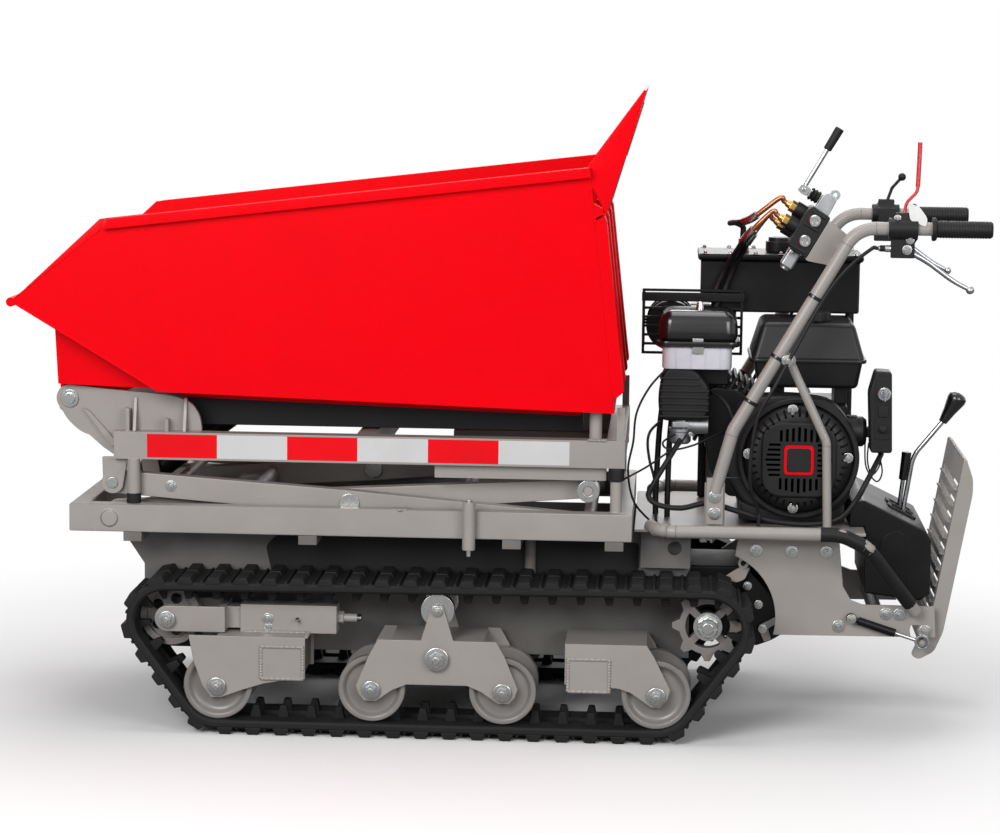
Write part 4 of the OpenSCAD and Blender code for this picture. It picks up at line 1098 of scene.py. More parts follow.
def mirrored(point: Point) -> Point:
    """The same point or direction on the other side of the machine."""
    return (point[0], -point[1], point[2])


def mirrored_bolts(bolts: Sequence[Bolt]) -> list[Bolt]:
    """Adds the same bolts on the other side of the machine.

    Args:
        bolts: Bolts of the left side.

    Returns:
        The bolts of both sides.
    """
    far = [Bolt(mirrored(bolt.place), mirrored(bolt.facing), bolt.size) for bolt in bolts]
    return [*bolts, *far]


@dataclass
class TrackBelts:
    """Rubber tracks: one link is modelled flat, copied, and laid round the wheels.

    Attributes:
        circles: Circles of the belt's inner face as x, z and radius, in order round the loop.
        centre: Centre line of the left track.
        links: Links in one loop.
        thick: Thickness of the belt.
        lug: Height of a lug.
        horn: Height of a guide horn.
        bends: Stretches of a link, which bend where the belt does.
        seam: Gap under which two links grow together.
    """

    circles: tuple[Point, ...] = (
        (*DRIVE_AXLE, 72), (*IDLER_AXLE, 66.5), *((x, ROLLER_HEIGHT, 74.5) for x in END_ROLLERS),
    )
    centre: float = TRACK_CENTRE
    links: int = 49
    thick: float = 18.0
    lug: float = 12.0
    horn: float = 26.0
    bends: int = 6
    seam: float = 0.05

    def circle(self, i: int) -> Point:
        """Circle number i, counted on round the loop."""
        return self.circles[i % len(self.circles)]

    def normal(self, i: int) -> float:
        """Angle of the outward normal on the run after a circle.

        Args:
            i: Number of the circle.

        Returns:
            The angle, in radians.
        """
        here, there = self.circle(i), self.circle(i + 1)
        along, up = there[0] - here[0], there[1] - here[1]
        return math.atan2(up, along) - math.acos((here[2] - there[2]) / math.hypot(along, up))

    def run(self, i: int) -> float:
        """Length of the straight run after circle i."""
        here, there = self.circle(i), self.circle(i + 1)
        return math.sqrt((there[0] - here[0]) ** 2 + (there[1] - here[1]) ** 2 - (here[2] - there[2]) ** 2)

    def leg(self, i: int) -> float:
        """Length of the run after circle i and of the wrap that follows it."""
        turn = (self.normal(i + 1) - self.normal(i)) % (2 * math.pi)
        return self.run(i) + (self.circle(i + 1)[2] + self.thick / 2) * turn

    def legs(self) -> list[float]:
        """Lengths of all runs, each with its wrap."""
        return [self.leg(i) for i in range(len(self.circles))]

    def place(self, along: float, high: float) -> tuple[float, float]:
        """Finds a point of the loop.

        Args:
            along: Distance along the belt.
            high: Height over its inner face.

        Returns:
            x and z.
        """
        legs = self.legs()
        along %= sum(legs)
        i = 0
        while along >= legs[i]:
            along -= legs[i]
            i += 1
        angle = self.normal(i)
        x, z, radius = self.circle(i)
        past = along - self.run(i)
        if past < 0:
            return (
                x + (radius + high) * math.cos(angle) - along * math.sin(angle),
                z + (radius + high) * math.sin(angle) + along * math.cos(angle),
            )
        x, z, radius = self.circle(i + 1)
        angle += past / (radius + self.thick / 2)
        return x + (radius + high) * math.cos(angle), z + (radius + high) * math.sin(angle)

    def link(self, pitch: float) -> Object:
        """Models one flat link: carcass, two lugs and two horns.

        Args:
            pitch: Length of the link.

        Returns:
            The link, with x along the belt and z over its inner face.
        """
        section = [
            (-90, 5), (-86, 0), (-22, 0), (-20, 9), (20, 9), (22, 0), (86, 0), (90, 5), (90, 13),
            (85, self.thick), (-85, self.thick), (-90, 13),
        ]
        take(None)
        bpy.ops.mesh.primitive_circle_add(vertices=len(section), radius=1.0)
        carcass = added("carcass")
        for vertex, (y, high) in zip(carcass.data.vertices, section):
            vertex.co = (-pitch / 2, y, high)
        edit(carcass)
        for _ in range(self.bends):
            bpy.ops.mesh.extrude_region_move(TRANSFORM_OT_translate={"value": (pitch / self.bends, 0, 0)})
        close_edit()
        crest = self.thick + self.lug
        lug = [(-18, 14), (-17, self.thick), (-12, crest), (12, crest), (17, self.thick), (18, 14)]
        horn = [(-13, 3), (-7, -self.horn), (7, -self.horn), (13, 3)]
        pieces = [carcass]
        for sign in (-1, 1):
            pieces.append(plate("lug", lug, *sorted((sign * 7, sign * 89)), 2.4))
            pieces.append(plate("horn", horn, *sorted((sign * 22.2, sign * 42)), 3.0))
        rib = plate("rib", [(-4, 15), (-3, 22), (3, 22), (4, 15)], -84, 84, 1.2)
        rib.data.transform(Matrix.Translation((pitch / 2 - 5, 0, 0)))
        return join("link", [*pieces, rib])

    def build(self) -> Object:
        """Lays both belts.

        Returns:
            The belts.
        """
        pitch = sum(self.legs()) / self.links
        link = self.link(pitch)
        copies = [copy_of(link, Matrix.Translation(((k + 0.5) * pitch, 0, 0))) for k in range(self.links)]
        bpy.data.objects.remove(link)
        belt = join("rubber_tracks", copies)
        for vertex in belt.data.vertices:
            x, z = self.place(vertex.co.x, vertex.co.z)
            vertex.co = (x, self.centre + vertex.co.y, z)
        edit(belt)
        bpy.ops.mesh.remove_doubles(threshold=self.seam)
        bpy.ops.mesh.normals_make_consistent(inside=False)
        close_edit()
        return hand_over(both_sides(belt), CHASSIS, TRACK_RUBBER, RUBBER, "track_belts")


@dataclass
class RoadWheels:
    """Twin-disc track rollers, turned once per size, and the nuts of the drive shafts.

    Attributes:
        height: Height of the axles.
        centre: Centre line of the left track.
        drive: x and z of the drive shafts.
        hub_face: Distance of a sprocket's outer hub face from the middle.
        places: Body and node of each pair, which share a name, with its place and its radius.
    """

    height: float = ROLLER_HEIGHT
    centre: float = TRACK_CENTRE
    drive: Pair = DRIVE_AXLE
    hub_face: float = 328.0
    places: tuple[tuple[str, float, float], ...] = (
        ("front_rollers", END_ROLLERS[0], 74.0), ("rear_rollers", END_ROLLERS[1], 74.0),
        ("bogie_front_rollers", BOGIE_ROLLERS[0], 72.0), ("bogie_rear_rollers", BOGIE_ROLLERS[1], 72.0),
    )

    def half(self, radius: float) -> Outline:
        """Section of one disc, from the bore out and back to the middle.

        Args:
            radius: Radius of the tread.

        Returns:
            Radius and distance from the centre line.
        """
        r = radius
        return [
            (8.5, 73), (22, 73), (24, 71.5), (25, 66), (29, 62.5), (48, 60), (55, 61), (r - 14, 66),
            (r - 11, 70.5), (r - 8, 72), (r - 1.5, 72), (r, 70.5), (r, 49.5), (r - 1.5, 48), (34, 48),
            (27, 46), (25, 41),
        ]

    def on_shaft(self, sign: int, out: float) -> Point:
        """Point on the left (-1) or right (1) drive shaft, at a distance beyond the hub face."""
        return (self.drive[0], sign * (self.hub_face + out), self.drive[1])

    def hub_nuts(self) -> None:
        """Turns the castle nuts and washers on the drive shafts."""
        ring = [(16, 0), (30, 0), (31, 1), (31, 3), (16, 3)]
        castle = [(13, 0), (20.6, 0), (20.6, 8), (19.5, 9), (13, 9)]
        for side, sign in (("left", -1), ("right", 1)):
            axis = (0, sign, 0)
            washer = lathe("washer", ring, self.on_shaft(sign, 0), axis, 40)
            nut = rod("nut", self.on_shaft(sign, 3), self.on_shaft(sign, 19), 24.5, 1.5, 6)
            crown = lathe("crown", castle, self.on_shaft(sign, 18), axis, 36)
            x, y, z = self.on_shaft(sign, 24)
            for angle in (0, 60, 120):
                slot = block("slot", (x - 30, y - 3.5, z - 2.6), (x + 30, y + 3.5, z + 2.6), 0.0)
                slot.data.transform(turn_about(self.drive, angle))
                cut(crown, slot)
            stud = rod("stud", self.on_shaft(sign, 2), self.on_shaft(sign, 31), 12.5, 2.0)
            name = f"sprocket_{side}"
            hand_over(join(f"{name}_nut", [washer, nut, crown, stud]), name, ZINC, STEEL)

    def build(self) -> None:
        """Turns each pair of rollers."""
        for node, x, radius in self.places:
            half = self.half(radius)
            profile = [*half, *[(r, -along) for r, along in reversed(half)]]
            wheel = lathe(f"{node}_turned", profile, (x, self.centre, self.height), LEFT, 56)
            hand_over(both_sides(wheel), node, WHEEL_ENAMEL, GREY, node)
        self.hub_nuts()


@dataclass
class TrackFrames:
    """Patches, welds, adjusters and bolts on the brackets of the running gear.

    Attributes:
        face: Outer face of the fork plates.
        tubes: Ends of the chassis tubes as x and z limits.
    """

    face: float = -392.0
    tubes: tuple[tuple[float, float, float, float], ...] = ((-490, -406, 126, 190), (170, 252, 114, 178))

    def patches(self) -> None:
        """Caps the open tube ends and runs a bead round each."""
        caps, runs = [], []
        for x0, x1, z0, z1 in self.tubes:
            lo, hi = (x0 - 2, self.face - 1.4, z0 - 2), (x1 + 2, self.face + 4, z1 + 2)
            caps.append(block("cap", lo, hi, 1.2))
            corners = ((x0 - 3, z0 - 3), (x1 + 3, z0 - 3), (x1 + 3, z1 + 3), (x0 - 3, z1 + 3))
            runs.append([(x, self.face - 0.6, z) for x, z in (*corners, corners[0])])
        hand_over(both_sides(join("tube_end_caps", caps)), CHASSIS, GREY_ENAMEL, GREY)
        runs.append([(-536, -341, 214.5), (-398, -341, 214.5)])
        runs.append([(-396.5, self.face + 8, 214), (-396.5, -340, 214)])
        WeldSet("tube_end_beads", CHASSIS, runs, 4.6, 6.0).build()

    def adjusters(self) -> None:
        """Turns the tension screws, with thread and grease nipple."""
        thread = [(9.0 if k % 2 else 8.0, k * 1.4) for k in range(26)]
        screw = lathe("screw", [(0, 0), *thread, (0, 35)], (-320, TRACK_CENTRE, IDLER_AXLE[1]), REAR, 20)
        stem = [(0, 0), (5, 0), (5, 6), (3, 8), (3, 12), (4, 14), (2, 17), (0, 17)]
        nipple = lathe("nipple", stem, (-420, -340, IDLER_AXLE[1]), LEFT, 16)
        hand_over(both_sides(join("tension_screws", [screw, nipple])), CHASSIS, ZINC, STEEL)

    def bolts(self) -> None:
        """Sets the axle nuts and pivot bolts."""
        nut = self.face - 5.5
        fixed = [Bolt((x, nut, ROLLER_HEIGHT), size=13) for x in END_ROLLERS]
        fixed += [Bolt((-485, -340.2, 244), size=8), Bolt((-485, -340.2, 226), size=6)]
        fixed.append(Bolt((BOGIE_PIVOT, self.face - 8, 175), size=17))
        FastenerSet("track_frame_bolts", CHASSIS, mirrored_bolts(fixed)).build()
        rocking = [Bolt((x, nut, ROLLER_HEIGHT), size=13) for x in BOGIE_ROLLERS]
        rocking.append(Bolt((BOGIE_PIVOT, self.face - 2.8, 278.8), size=8))
        FastenerSet("bogie_bolts", "bogies", mirrored_bolts(rocking)).build()
        idler = Bolt((IDLER_AXLE[0], -376, IDLER_AXLE[1]), size=12)
        FastenerSet("idler_bolts", "tensioner", mirrored_bolts([idler])).build()

    def build(self) -> None:
        """Makes all dress of the track frames."""
        self.patches()
        self.adjusters()
        self.bolts()


@dataclass
class ReflectiveTape:
    """Blocks of red and white film on both sides of the upper frame.

    Attributes:
        start: Front end of the tape.
        block_length: Length of one block.
        blocks: Number of blocks.
        low: Lower edge.
        high: Upper edge.
        face: Side face of the frame.
    """

    start: float = -751.0
    block_length: float = 152.0
    blocks: int = 6
    low: float = 588.0
    high: float = 639.0
    face: float = -320.0

    def build(self) -> None:
        """Sticks the blocks on."""
        for finish, first, name in ((RED_FILM, 0, "red_tape"), (WHITE_FILM, 1, "white_tape")):
            films = []
            for k in range(first, self.blocks, 2):
                x = self.start + k * self.block_length
                lo, hi = (x, self.face - 0.5, self.low), (x + self.block_length, self.face, self.high)
                films.append(block("film", lo, hi, 0.0))
            hand_over(both_sides(join(name, films)), "upper_frame", finish, GREY)


@dataclass
class LiftDress:
    """Welds, hinge cheeks, latches and nuts of the lift.

    Attributes:
        base_face: Side face of the lower frame.
        top_face: Side face of the upper frame.
    """

    base_face: float = -340.0
    top_face: float = -320.0

    def base_beads(self) -> None:
        """Runs the beads at the corners of the lower frame."""
        y = self.base_face + 40
        WeldSet("base_frame_beads", CHASSIS, [
            [(-878, y, 487.4), (-878, y + 40, 487.4)], [(258, y, 487.4), (258, y + 40, 487.4)],
            [(-878, y + 0.5, 430), (-878, y + 0.5, 485)], [(258, y + 0.5, 430), (258, y + 0.5, 485)],
        ]).build()

    def hinges(self) -> None:
        """Cuts the cheeks of the tip hinge and their gussets."""
        hinge = rounded([
            (-953, 708), (-946, 730), (-928, 739), (-863, 732), (-700, 719), (-660, 704), (-642, 676),
            (-637, 640), (-660, 590), (-824, 588), (-836, 622), (-873, 625), (-905, 637), (-932, 662),
            (-947, 688),
        ], 14)
        cheeks = [plate("cheek", hinge, -281.5, -268.5, 1.4)]
        gusset = [(-306, 643), (-281, 643), (-281, 714), (-286, 714)]
        cheeks += [plate("gusset", gusset, x, x + 7, 1.0, Side.YZ) for x in (-785, -676)]
        hand_over(both_sides(join("hinge_cheeks", cheeks)), "upper_frame", GREY_ENAMEL, GREY)

    def top_beads(self) -> None:
        """Runs the beads on the upper frame."""
        y = self.top_face
        WeldSet("top_frame_beads", "upper_frame", [
            [(-640, y + 40, 643.5), (-690, y + 42, 643.5)], [(-641, y + 41, 590), (-641, y + 41, 640)],
            [(200, y, 643.6), (240, y, 643.6)],
        ]).build()

    def fittings(self) -> None:
        """Makes the latch sleeves on the lower frame and their pins."""
        x, y = -51, self.base_face - 14
        tube = [(6, 0), (13, 0), (14, 1), (14, 103), (13, 104), (6, 104)]
        sleeve = lathe("sleeve", tube, (x, y, 406), UP, 24)
        pin = rod("pin", (x, y, 392), (x, y, 514), 6, 1.0, 18)
        hand_over(both_sides(sleeve), CHASSIS, GREY_ENAMEL, GREY)
        hand_over(both_sides(pin), CHASSIS, ZINC, STEEL)

    def bolts(self) -> None:
        """Sets the nuts on the arm pivots."""
        pivot = Bolt((-704, -292.2, 522), size=8)
        FastenerSet("arm_pivot_nuts", "outer_arms", mirrored_bolts([pivot])).build()

    def build(self) -> None:
        """Makes all dress of the lift."""
        self.base_beads()
        self.hinges()
        self.top_beads()
        self.fittings()
        self.bolts()


@dataclass
class BinDress:
    """Welds, rear stiffeners and runners of the bin, the runners black as painted shade under its floor.

    Attributes:
        side: Outer face of its side walls.
        ribs: Where the stiffeners of the rear wall start across the machine.
    """

    side: float = -350.0
    ribs: tuple[float, ...] = (-350.0, -140.0)

    def beads(self) -> None:
        """Runs the beads along the folded corners."""
        y = self.side + 0.4
        runs = [
            [(-1030, y, 918), (-728, y, 739)], [(-846, y, 1080), (-1034, y, 928)],
            [(196.5, y, 1205), (254, y, 712)], [(199, y, 1206), (232, y, 1132)],
            [(262, y, 1226), (300, y, 1350)],
        ]
        WeldSet("bin_beads", "bin", runs, 2.0, finish=RED_ENAMEL, slot=RED).build()

    def stiffeners(self) -> None:
        """Folds the upright channels of the rear wall."""
        outline = [
            (206, 1150), (212, 1090), (250, 748), (256, 735), (276, 752), (270, 800), (234, 1112),
            (224, 1140),
        ]
        channels = [plate("channel", outline, y, y + 46, 2.0) for y in self.ribs]
        hand_over(both_sides(join("bin_stiffeners", channels)), "bin", RED_ENAMEL, RED)

    def shade_runners(self) -> None:
        """Cuts the runners that the bin lies on, black as painted shade for the dark gap under the bin."""
        runner = plate("runner", [(-684, 710), (186, 688), (186, 648), (-648, 648)], -211, -189, 1.5)
        # Black runners: painted shade under the bin's floor.
        hand_over(both_sides(runner), "bin", SOFT_RUBBER, RUBBER)

    def build(self) -> None:
        """Makes all dress of the bin."""
        self.beads()
        self.stiffeners()
        self.shade_runners()


@dataclass
class Engine:
    """Dress of the petrol engine: housings, recoil cover, tank, filter, carburettor, key box and leads.

    Attributes:
        crank: x and z of the crankshaft.
        fan_face: Outer face of the fan housing.
        face: Outer face of the recoil cover.
        saw: How far out a cutter of the recoil cover starts.
        rim_slots: Slots round the rim of the recoil cover.
        leads: Radius and route of each thin lead.
    """

    crank: Pair = (654.0, 598.0)
    fan_face: float = -200.0
    face: float = -238.0
    saw: float = -260.0
    rim_slots: int = 40
    leads: tuple[tuple[float, list[Point]], ...] = (
        (3.0, [
            (356, -150, 668), (333, -200, 651), (327, -205, 625), (332, -205, 586), (342, -205, 549),
            (346, -205, 510), (348, -204, 450),
        ]),
        (2.2, [
            (386, -170, 640), (361, -195, 627), (366, -200, 614), (388, -200, 611), (419, -196, 618),
            (446, -188, 628), (500, -150, 650),
        ]),
        (2.2, [
            (272, -230, 545), (311, -218, 565), (336, -212, 580), (369, -204, 603), (390, -200, 613),
            (410, -184, 640),
        ]),
        (1.7, [(800, -160, 630), (803, -172, 577), (826, -176, 546), (838, -174, 568), (828, -166, 614)]),
        (1.7, [(808, -158, 628), (806, -168, 590), (816, -172, 560), (832, -170, 580), (838, -164, 614)]),
    )

    def around(self, model: Object, angle: float) -> Object:
        """Copies a model turned about the crankshaft by an angle in degrees."""
        return copy_of(model, turn_about(self.crank, angle))

    def housing(self) -> None:
        """Models the fan housing with its raised lip and the starter motor beside it."""
        shape = rounded([
            (492, 664), (536, 727), (640, 734), (727, 722), (770, 672), (790, 604), (757, 477), (645, 468),
            (534, 488), (496, 545),
        ], 46, 8)
        x, z = self.crank
        ring = [(119, 0), (132, 0), (132, 8), (129, 11), (122, 11), (119, 8)]
        body = plate("housing", shape, self.fan_face, -106, 13.0, steps=4)
        lip = lathe("lip", ring, (x, self.fan_face, z), LEFT, 64)
        foot = block("foot", (530, -196, 456), (758, -108, 500), 8.0)
        hand_over(join("fan_housing", [body, lip, foot]), CHASSIS, BLACK_ABS, PLASTIC, "fan_shroud")
        barrel = [(0, 0), (30, 0), (36, 4), (36, 52), (33, 56), (33, 66), (26, 74), (0, 76)]
        motor = lathe("motor", barrel, (728, -150, 652), REAR, 32)
        arm = block("arm", (790, -168, 641), (816, -142, 663), 3.0)
        hand_over(join("starter_motor", [motor, arm]), CHASSIS, BLACK_CASTING, PLASTIC)

    def duct(self) -> None:
        """Folds the air duct beside the cylinder and the front strip and shield of the muffler."""
        shape = rounded([
            (431, 664), (440, 720), (470, 740), (530, 730), (566, 700), (548, 500), (506, 494), (464, 552),
            (452, 620),
        ], 14)
        hand_over(plate("cylinder_duct", shape, -108, -86, 4.0, steps=3), CHASSIS, BLACK_ENAMEL, CAST)
        strip = block("strip", (307, -15.5, 918), (535, -9.2, 938), 2.0)
        shield = block("shield", (430, 16, 806), (518, 156, 922), 12.0, 4)
        hand_over(join("muffler_shield", [strip, shield]), CHASSIS, BLACK_ENAMEL, BLACK)

    def slots(self) -> Object:
        """Makes the cutters of the cooling slots: a ring of short ones and two sets of straight ones.

        Returns:
            The joined cutters.
        """
        x, z = self.crank
        deep = self.face + 7
        rim = block("slot", (x + 93, self.saw, z - 2.6), (x + 111, -214, z + 2.6), 0.0)
        cuts = [self.around(rim, 360 / self.rim_slots * k) for k in range(self.rim_slots)]
        bpy.data.objects.remove(rim)
        for k in range(-3, 4):
            u, v = x + 13 * k, z + 11 * k
            reach = 72 - 2.4 * abs(k)
            for sign in (-1, 1):
                low, high = sorted((sign * 40, sign * reach))
                cuts.append(block("slot", (u - 3, self.saw, z + low), (u + 3, deep, z + high), 0.0))
                cuts.append(block("slot", (x + low, self.saw, v - 2.6), (x + high, deep, v + 2.6), 0.0))
        return join("slots", cuts)

    def recoil(self) -> None:
        """Turns the recoil cover with its square boss and cuts the slots."""
        x, z = self.crank
        profile = [(0, 31), (88, 31), (99, 29), (108, 24), (115, 15), (118, 6), (118, -8), (0, -8)]
        cover = lathe("recoil_cover", profile, (x, self.fan_face, z), LEFT, 72)
        square = pad((x - 81, z - 83), (x + 81, z + 83), 50, 9)
        boss = plate("recoil_boss", square, self.face, -222, 6.0, steps=3)
        slots = self.slots()
        cut(boss, copy_of(slots, Matrix.Identity(4)))
        cut(cover, slots)
        hand_over(join("recoil_cover", [cover, boss]), CHASSIS, BLACK_ABS, BLACK, "recoil_starter")

    def badge(self) -> None:
        """Lays the red frame and the blank badge on the boss, and sets the bolts round it."""
        x, z = self.crank
        layers = (
            ("badge_frame", 32, 10, 3.2, RED_ENAMEL, RED),
            ("blank_badge", 26.5, 6, 4.2, GLOSS_ABS, PLASTIC),
        )
        for name, half, corner, proud, finish, slot in layers:
            shape = pad((x - half, z - half), (x + half, z + half), corner)
            hand_over(plate(name, shape, self.face - proud, self.face + 1, 1.2), CHASSIS, finish, slot)
        places = ((639, 706), (545, 608), (760, 603), (644, 491))
        bolts = [Bolt((px, -224.0, pz), size=7.5) for px, pz in places]
        FastenerSet("recoil_bolts", CHASSIS, bolts).build()

    def tank(self) -> None:
        """Models the fuel tank as two pressed shells on a seam."""
        upper = block("upper", (548, -146, 800), (798, 106, 886), 13.0, 4, 0.8)
        lower = block("lower", (566, -130, 742), (782, 90, 806), 10.0, 4, 1.1)
        seam = plate("seam", pad((546, -150), (801, 110), 24, 6), 799, 808, 3.0, Side.XY)
        neck = lathe("neck", [(19, 0), (24, 0), (24, 10), (22, 12), (19, 12)], (690, -80, 880), UP, 40)
        feet = [block("foot", (x, -60, 700), (x + 28, 60, 748), 3.0) for x in (598, 736)]
        shells = join("fuel_tank_shells", [upper, lower, seam, neck, *feet])
        hand_over(shells, CHASSIS, TANK_PE, PLASTIC, "fuel_tank")

    def filter(self) -> None:
        """Models the air filter: domed lid, milky base, latch, finned elbow and wing nut."""
        lid = block("lid", (344, -178, 836), (521, -18, 911), 28.0, 6, 0.94)
        rim = plate("rim", pad((342, -180), (523, -16), 28, 6), 833, 845, 2.5, Side.XY)
        hand_over(join("filter_lid", [lid, rim]), CHASSIS, GLOSS_ABS, PLASTIC, "air_cleaner")
        base = plate("filter_base", pad((355, -170), (507, -28), 24, 6), 783, 832, 4.0, Side.XY)
        ribs = [block("rib", (x, -171.5, 786), (x + 3, -168, 830), 0.8) for x in (384, 416, 448, 480)]
        hand_over(join("filter_base", [base, *ribs]), CHASSIS, MILKY_PLASTIC, PLASTIC)
        latch = block("latch", (420, -176, 818), (444, -168, 852), 2.0)
        nut = join("wing_nut", [
            lathe("hub", [(0, 0), (9, 0), (8, 12), (4, 15), (0, 15)], (436, -98, 911), UP, 20),
            block("wings", (412, -101, 917), (460, -95, 925), 2.5),
        ])
        hand_over(join("filter_clamps", [latch, nut]), CHASSIS, ZINC, STEEL)
        shape = rounded([
            (358, 786), (426, 786), (461, 743), (462, 690), (449, 668), (352, 668), (347, 721),
        ], 18, 6)
        elbow = plate("elbow", shape, -160, -106, 9.0, steps=3)
        ends = (459, 459, 459, 459, 459, 440, 440)
        fins = [
            block("fin", (351, -163, 676 + 14 * k), (end, -120, 681 + 14 * k), 1.2)
            for k, end in enumerate(ends)
        ]
        hand_over(join("intake_elbow", [elbow, *fins]), CHASSIS, BLACK_ABS, PLASTIC)

    def carburettor(self) -> None:
        """Models the carburettor with its bowl, throttle spindle and screw."""
        cup = [(0, 0), (18, 0), (23, 5), (23, 26), (26, 28), (26, 34), (20, 36), (20, 52), (0, 52)]
        bore = [(0, 0), (20, 0), (24, 3), (24, 10), (18, 14), (18, 60), (0, 60)]
        bowl = lathe("bowl", cup, (398, -134, 616), UP, 32)
        throat = lathe("throat", bore, (398, -134, 656), REAR, 28)
        spindle = rod("spindle", (398, -172, 662), (398, -106, 662), 4.0)
        arm = block("throttle_arm", (380, -174, 656), (416, -170, 668), 1.5)
        shank = [(0, 0), (5, 0), (5, 4), (3, 5), (3, 20), (0, 20)]
        screw = lathe("screw", shank, (420, -160, 640), LEFT, 14)
        hand_over(join("carburettor", [bowl, throat, spindle, arm, screw]), CHASSIS, DIE_CAST, CAST)

    def key_box(self) -> None:
        """Models the key switch box with its panel, rocker, breaker and bezel."""
        shape = rounded([(817, 790), (852, 788), (857, 611), (810, 611), (804, 741)], 7, 4)
        box = plate("key_box", shape, -196, -130, 4.0, steps=3)
        panel = block("panel", (818, -198, 640), (850, -194, 776), 1.6)
        bezel = lathe("bezel", [(8.5, 0), (15, 0), (15, 5), (13, 7), (8.5, 7)], (836, -198, 740), LEFT, 28)
        switch = block("rocker", (824, -203, 690), (846, -197, 716), 2.0)
        button = [(0, 0), (9, 0), (9, 6), (6, 8), (6, 14), (0, 15)]
        breaker = lathe("breaker", button, (835, -198, 664), LEFT, 20)
        hand_over(join("key_box", [box, panel, switch, breaker]), CHASSIS, BLACK_ABS, PLASTIC, "key_panel")
        hand_over(bezel, CHASSIS, ZINC, STEEL)

    def wiring(self) -> None:
        """Lays the loom from the switch box, the plug lead and the thin leads beside the engine."""
        loom = sweep("loom", smooth_route([
            (836, -165, 606), (800, -236, 552), (777, -240, 510), (744, -240, 473), (683, -240, 459),
            (600, -240, 464), (518, -240, 486), (461, -236, 500), (403, -236, 488), (354, -232, 493),
            (331, -228, 512), (345, -226, 545), (372, -214, 590), (398, -180, 630),
        ]), 6.0)
        wire = sweep("wire", smooth_route([
            (372, -160, 790), (330, -176, 745), (302, -200, 690), (296, -226, 630), (286, -250, 570),
            (300, -240, 500), (340, -210, 450),
        ]), 2.4)
        plug = sweep("plug_lead", smooth_route([
            (452, -96, 716), (470, -150, 730), (500, -190, 706), (516, -196, 660),
        ]), 4.0)
        thin = [sweep("thin", smooth_route(route), radius) for radius, route in self.leads]
        hand_over(join("wiring", [loom, wire, plug, *thin]), CHASSIS, SOFT_RUBBER, RUBBER)

    def build(self) -> None:
        """Makes the whole engine dress."""
        self.housing()
        self.duct()
        self.recoil()
        self.badge()
        self.tank()
        self.filter()
        self.carburettor()
        self.key_box()
        self.wiring()


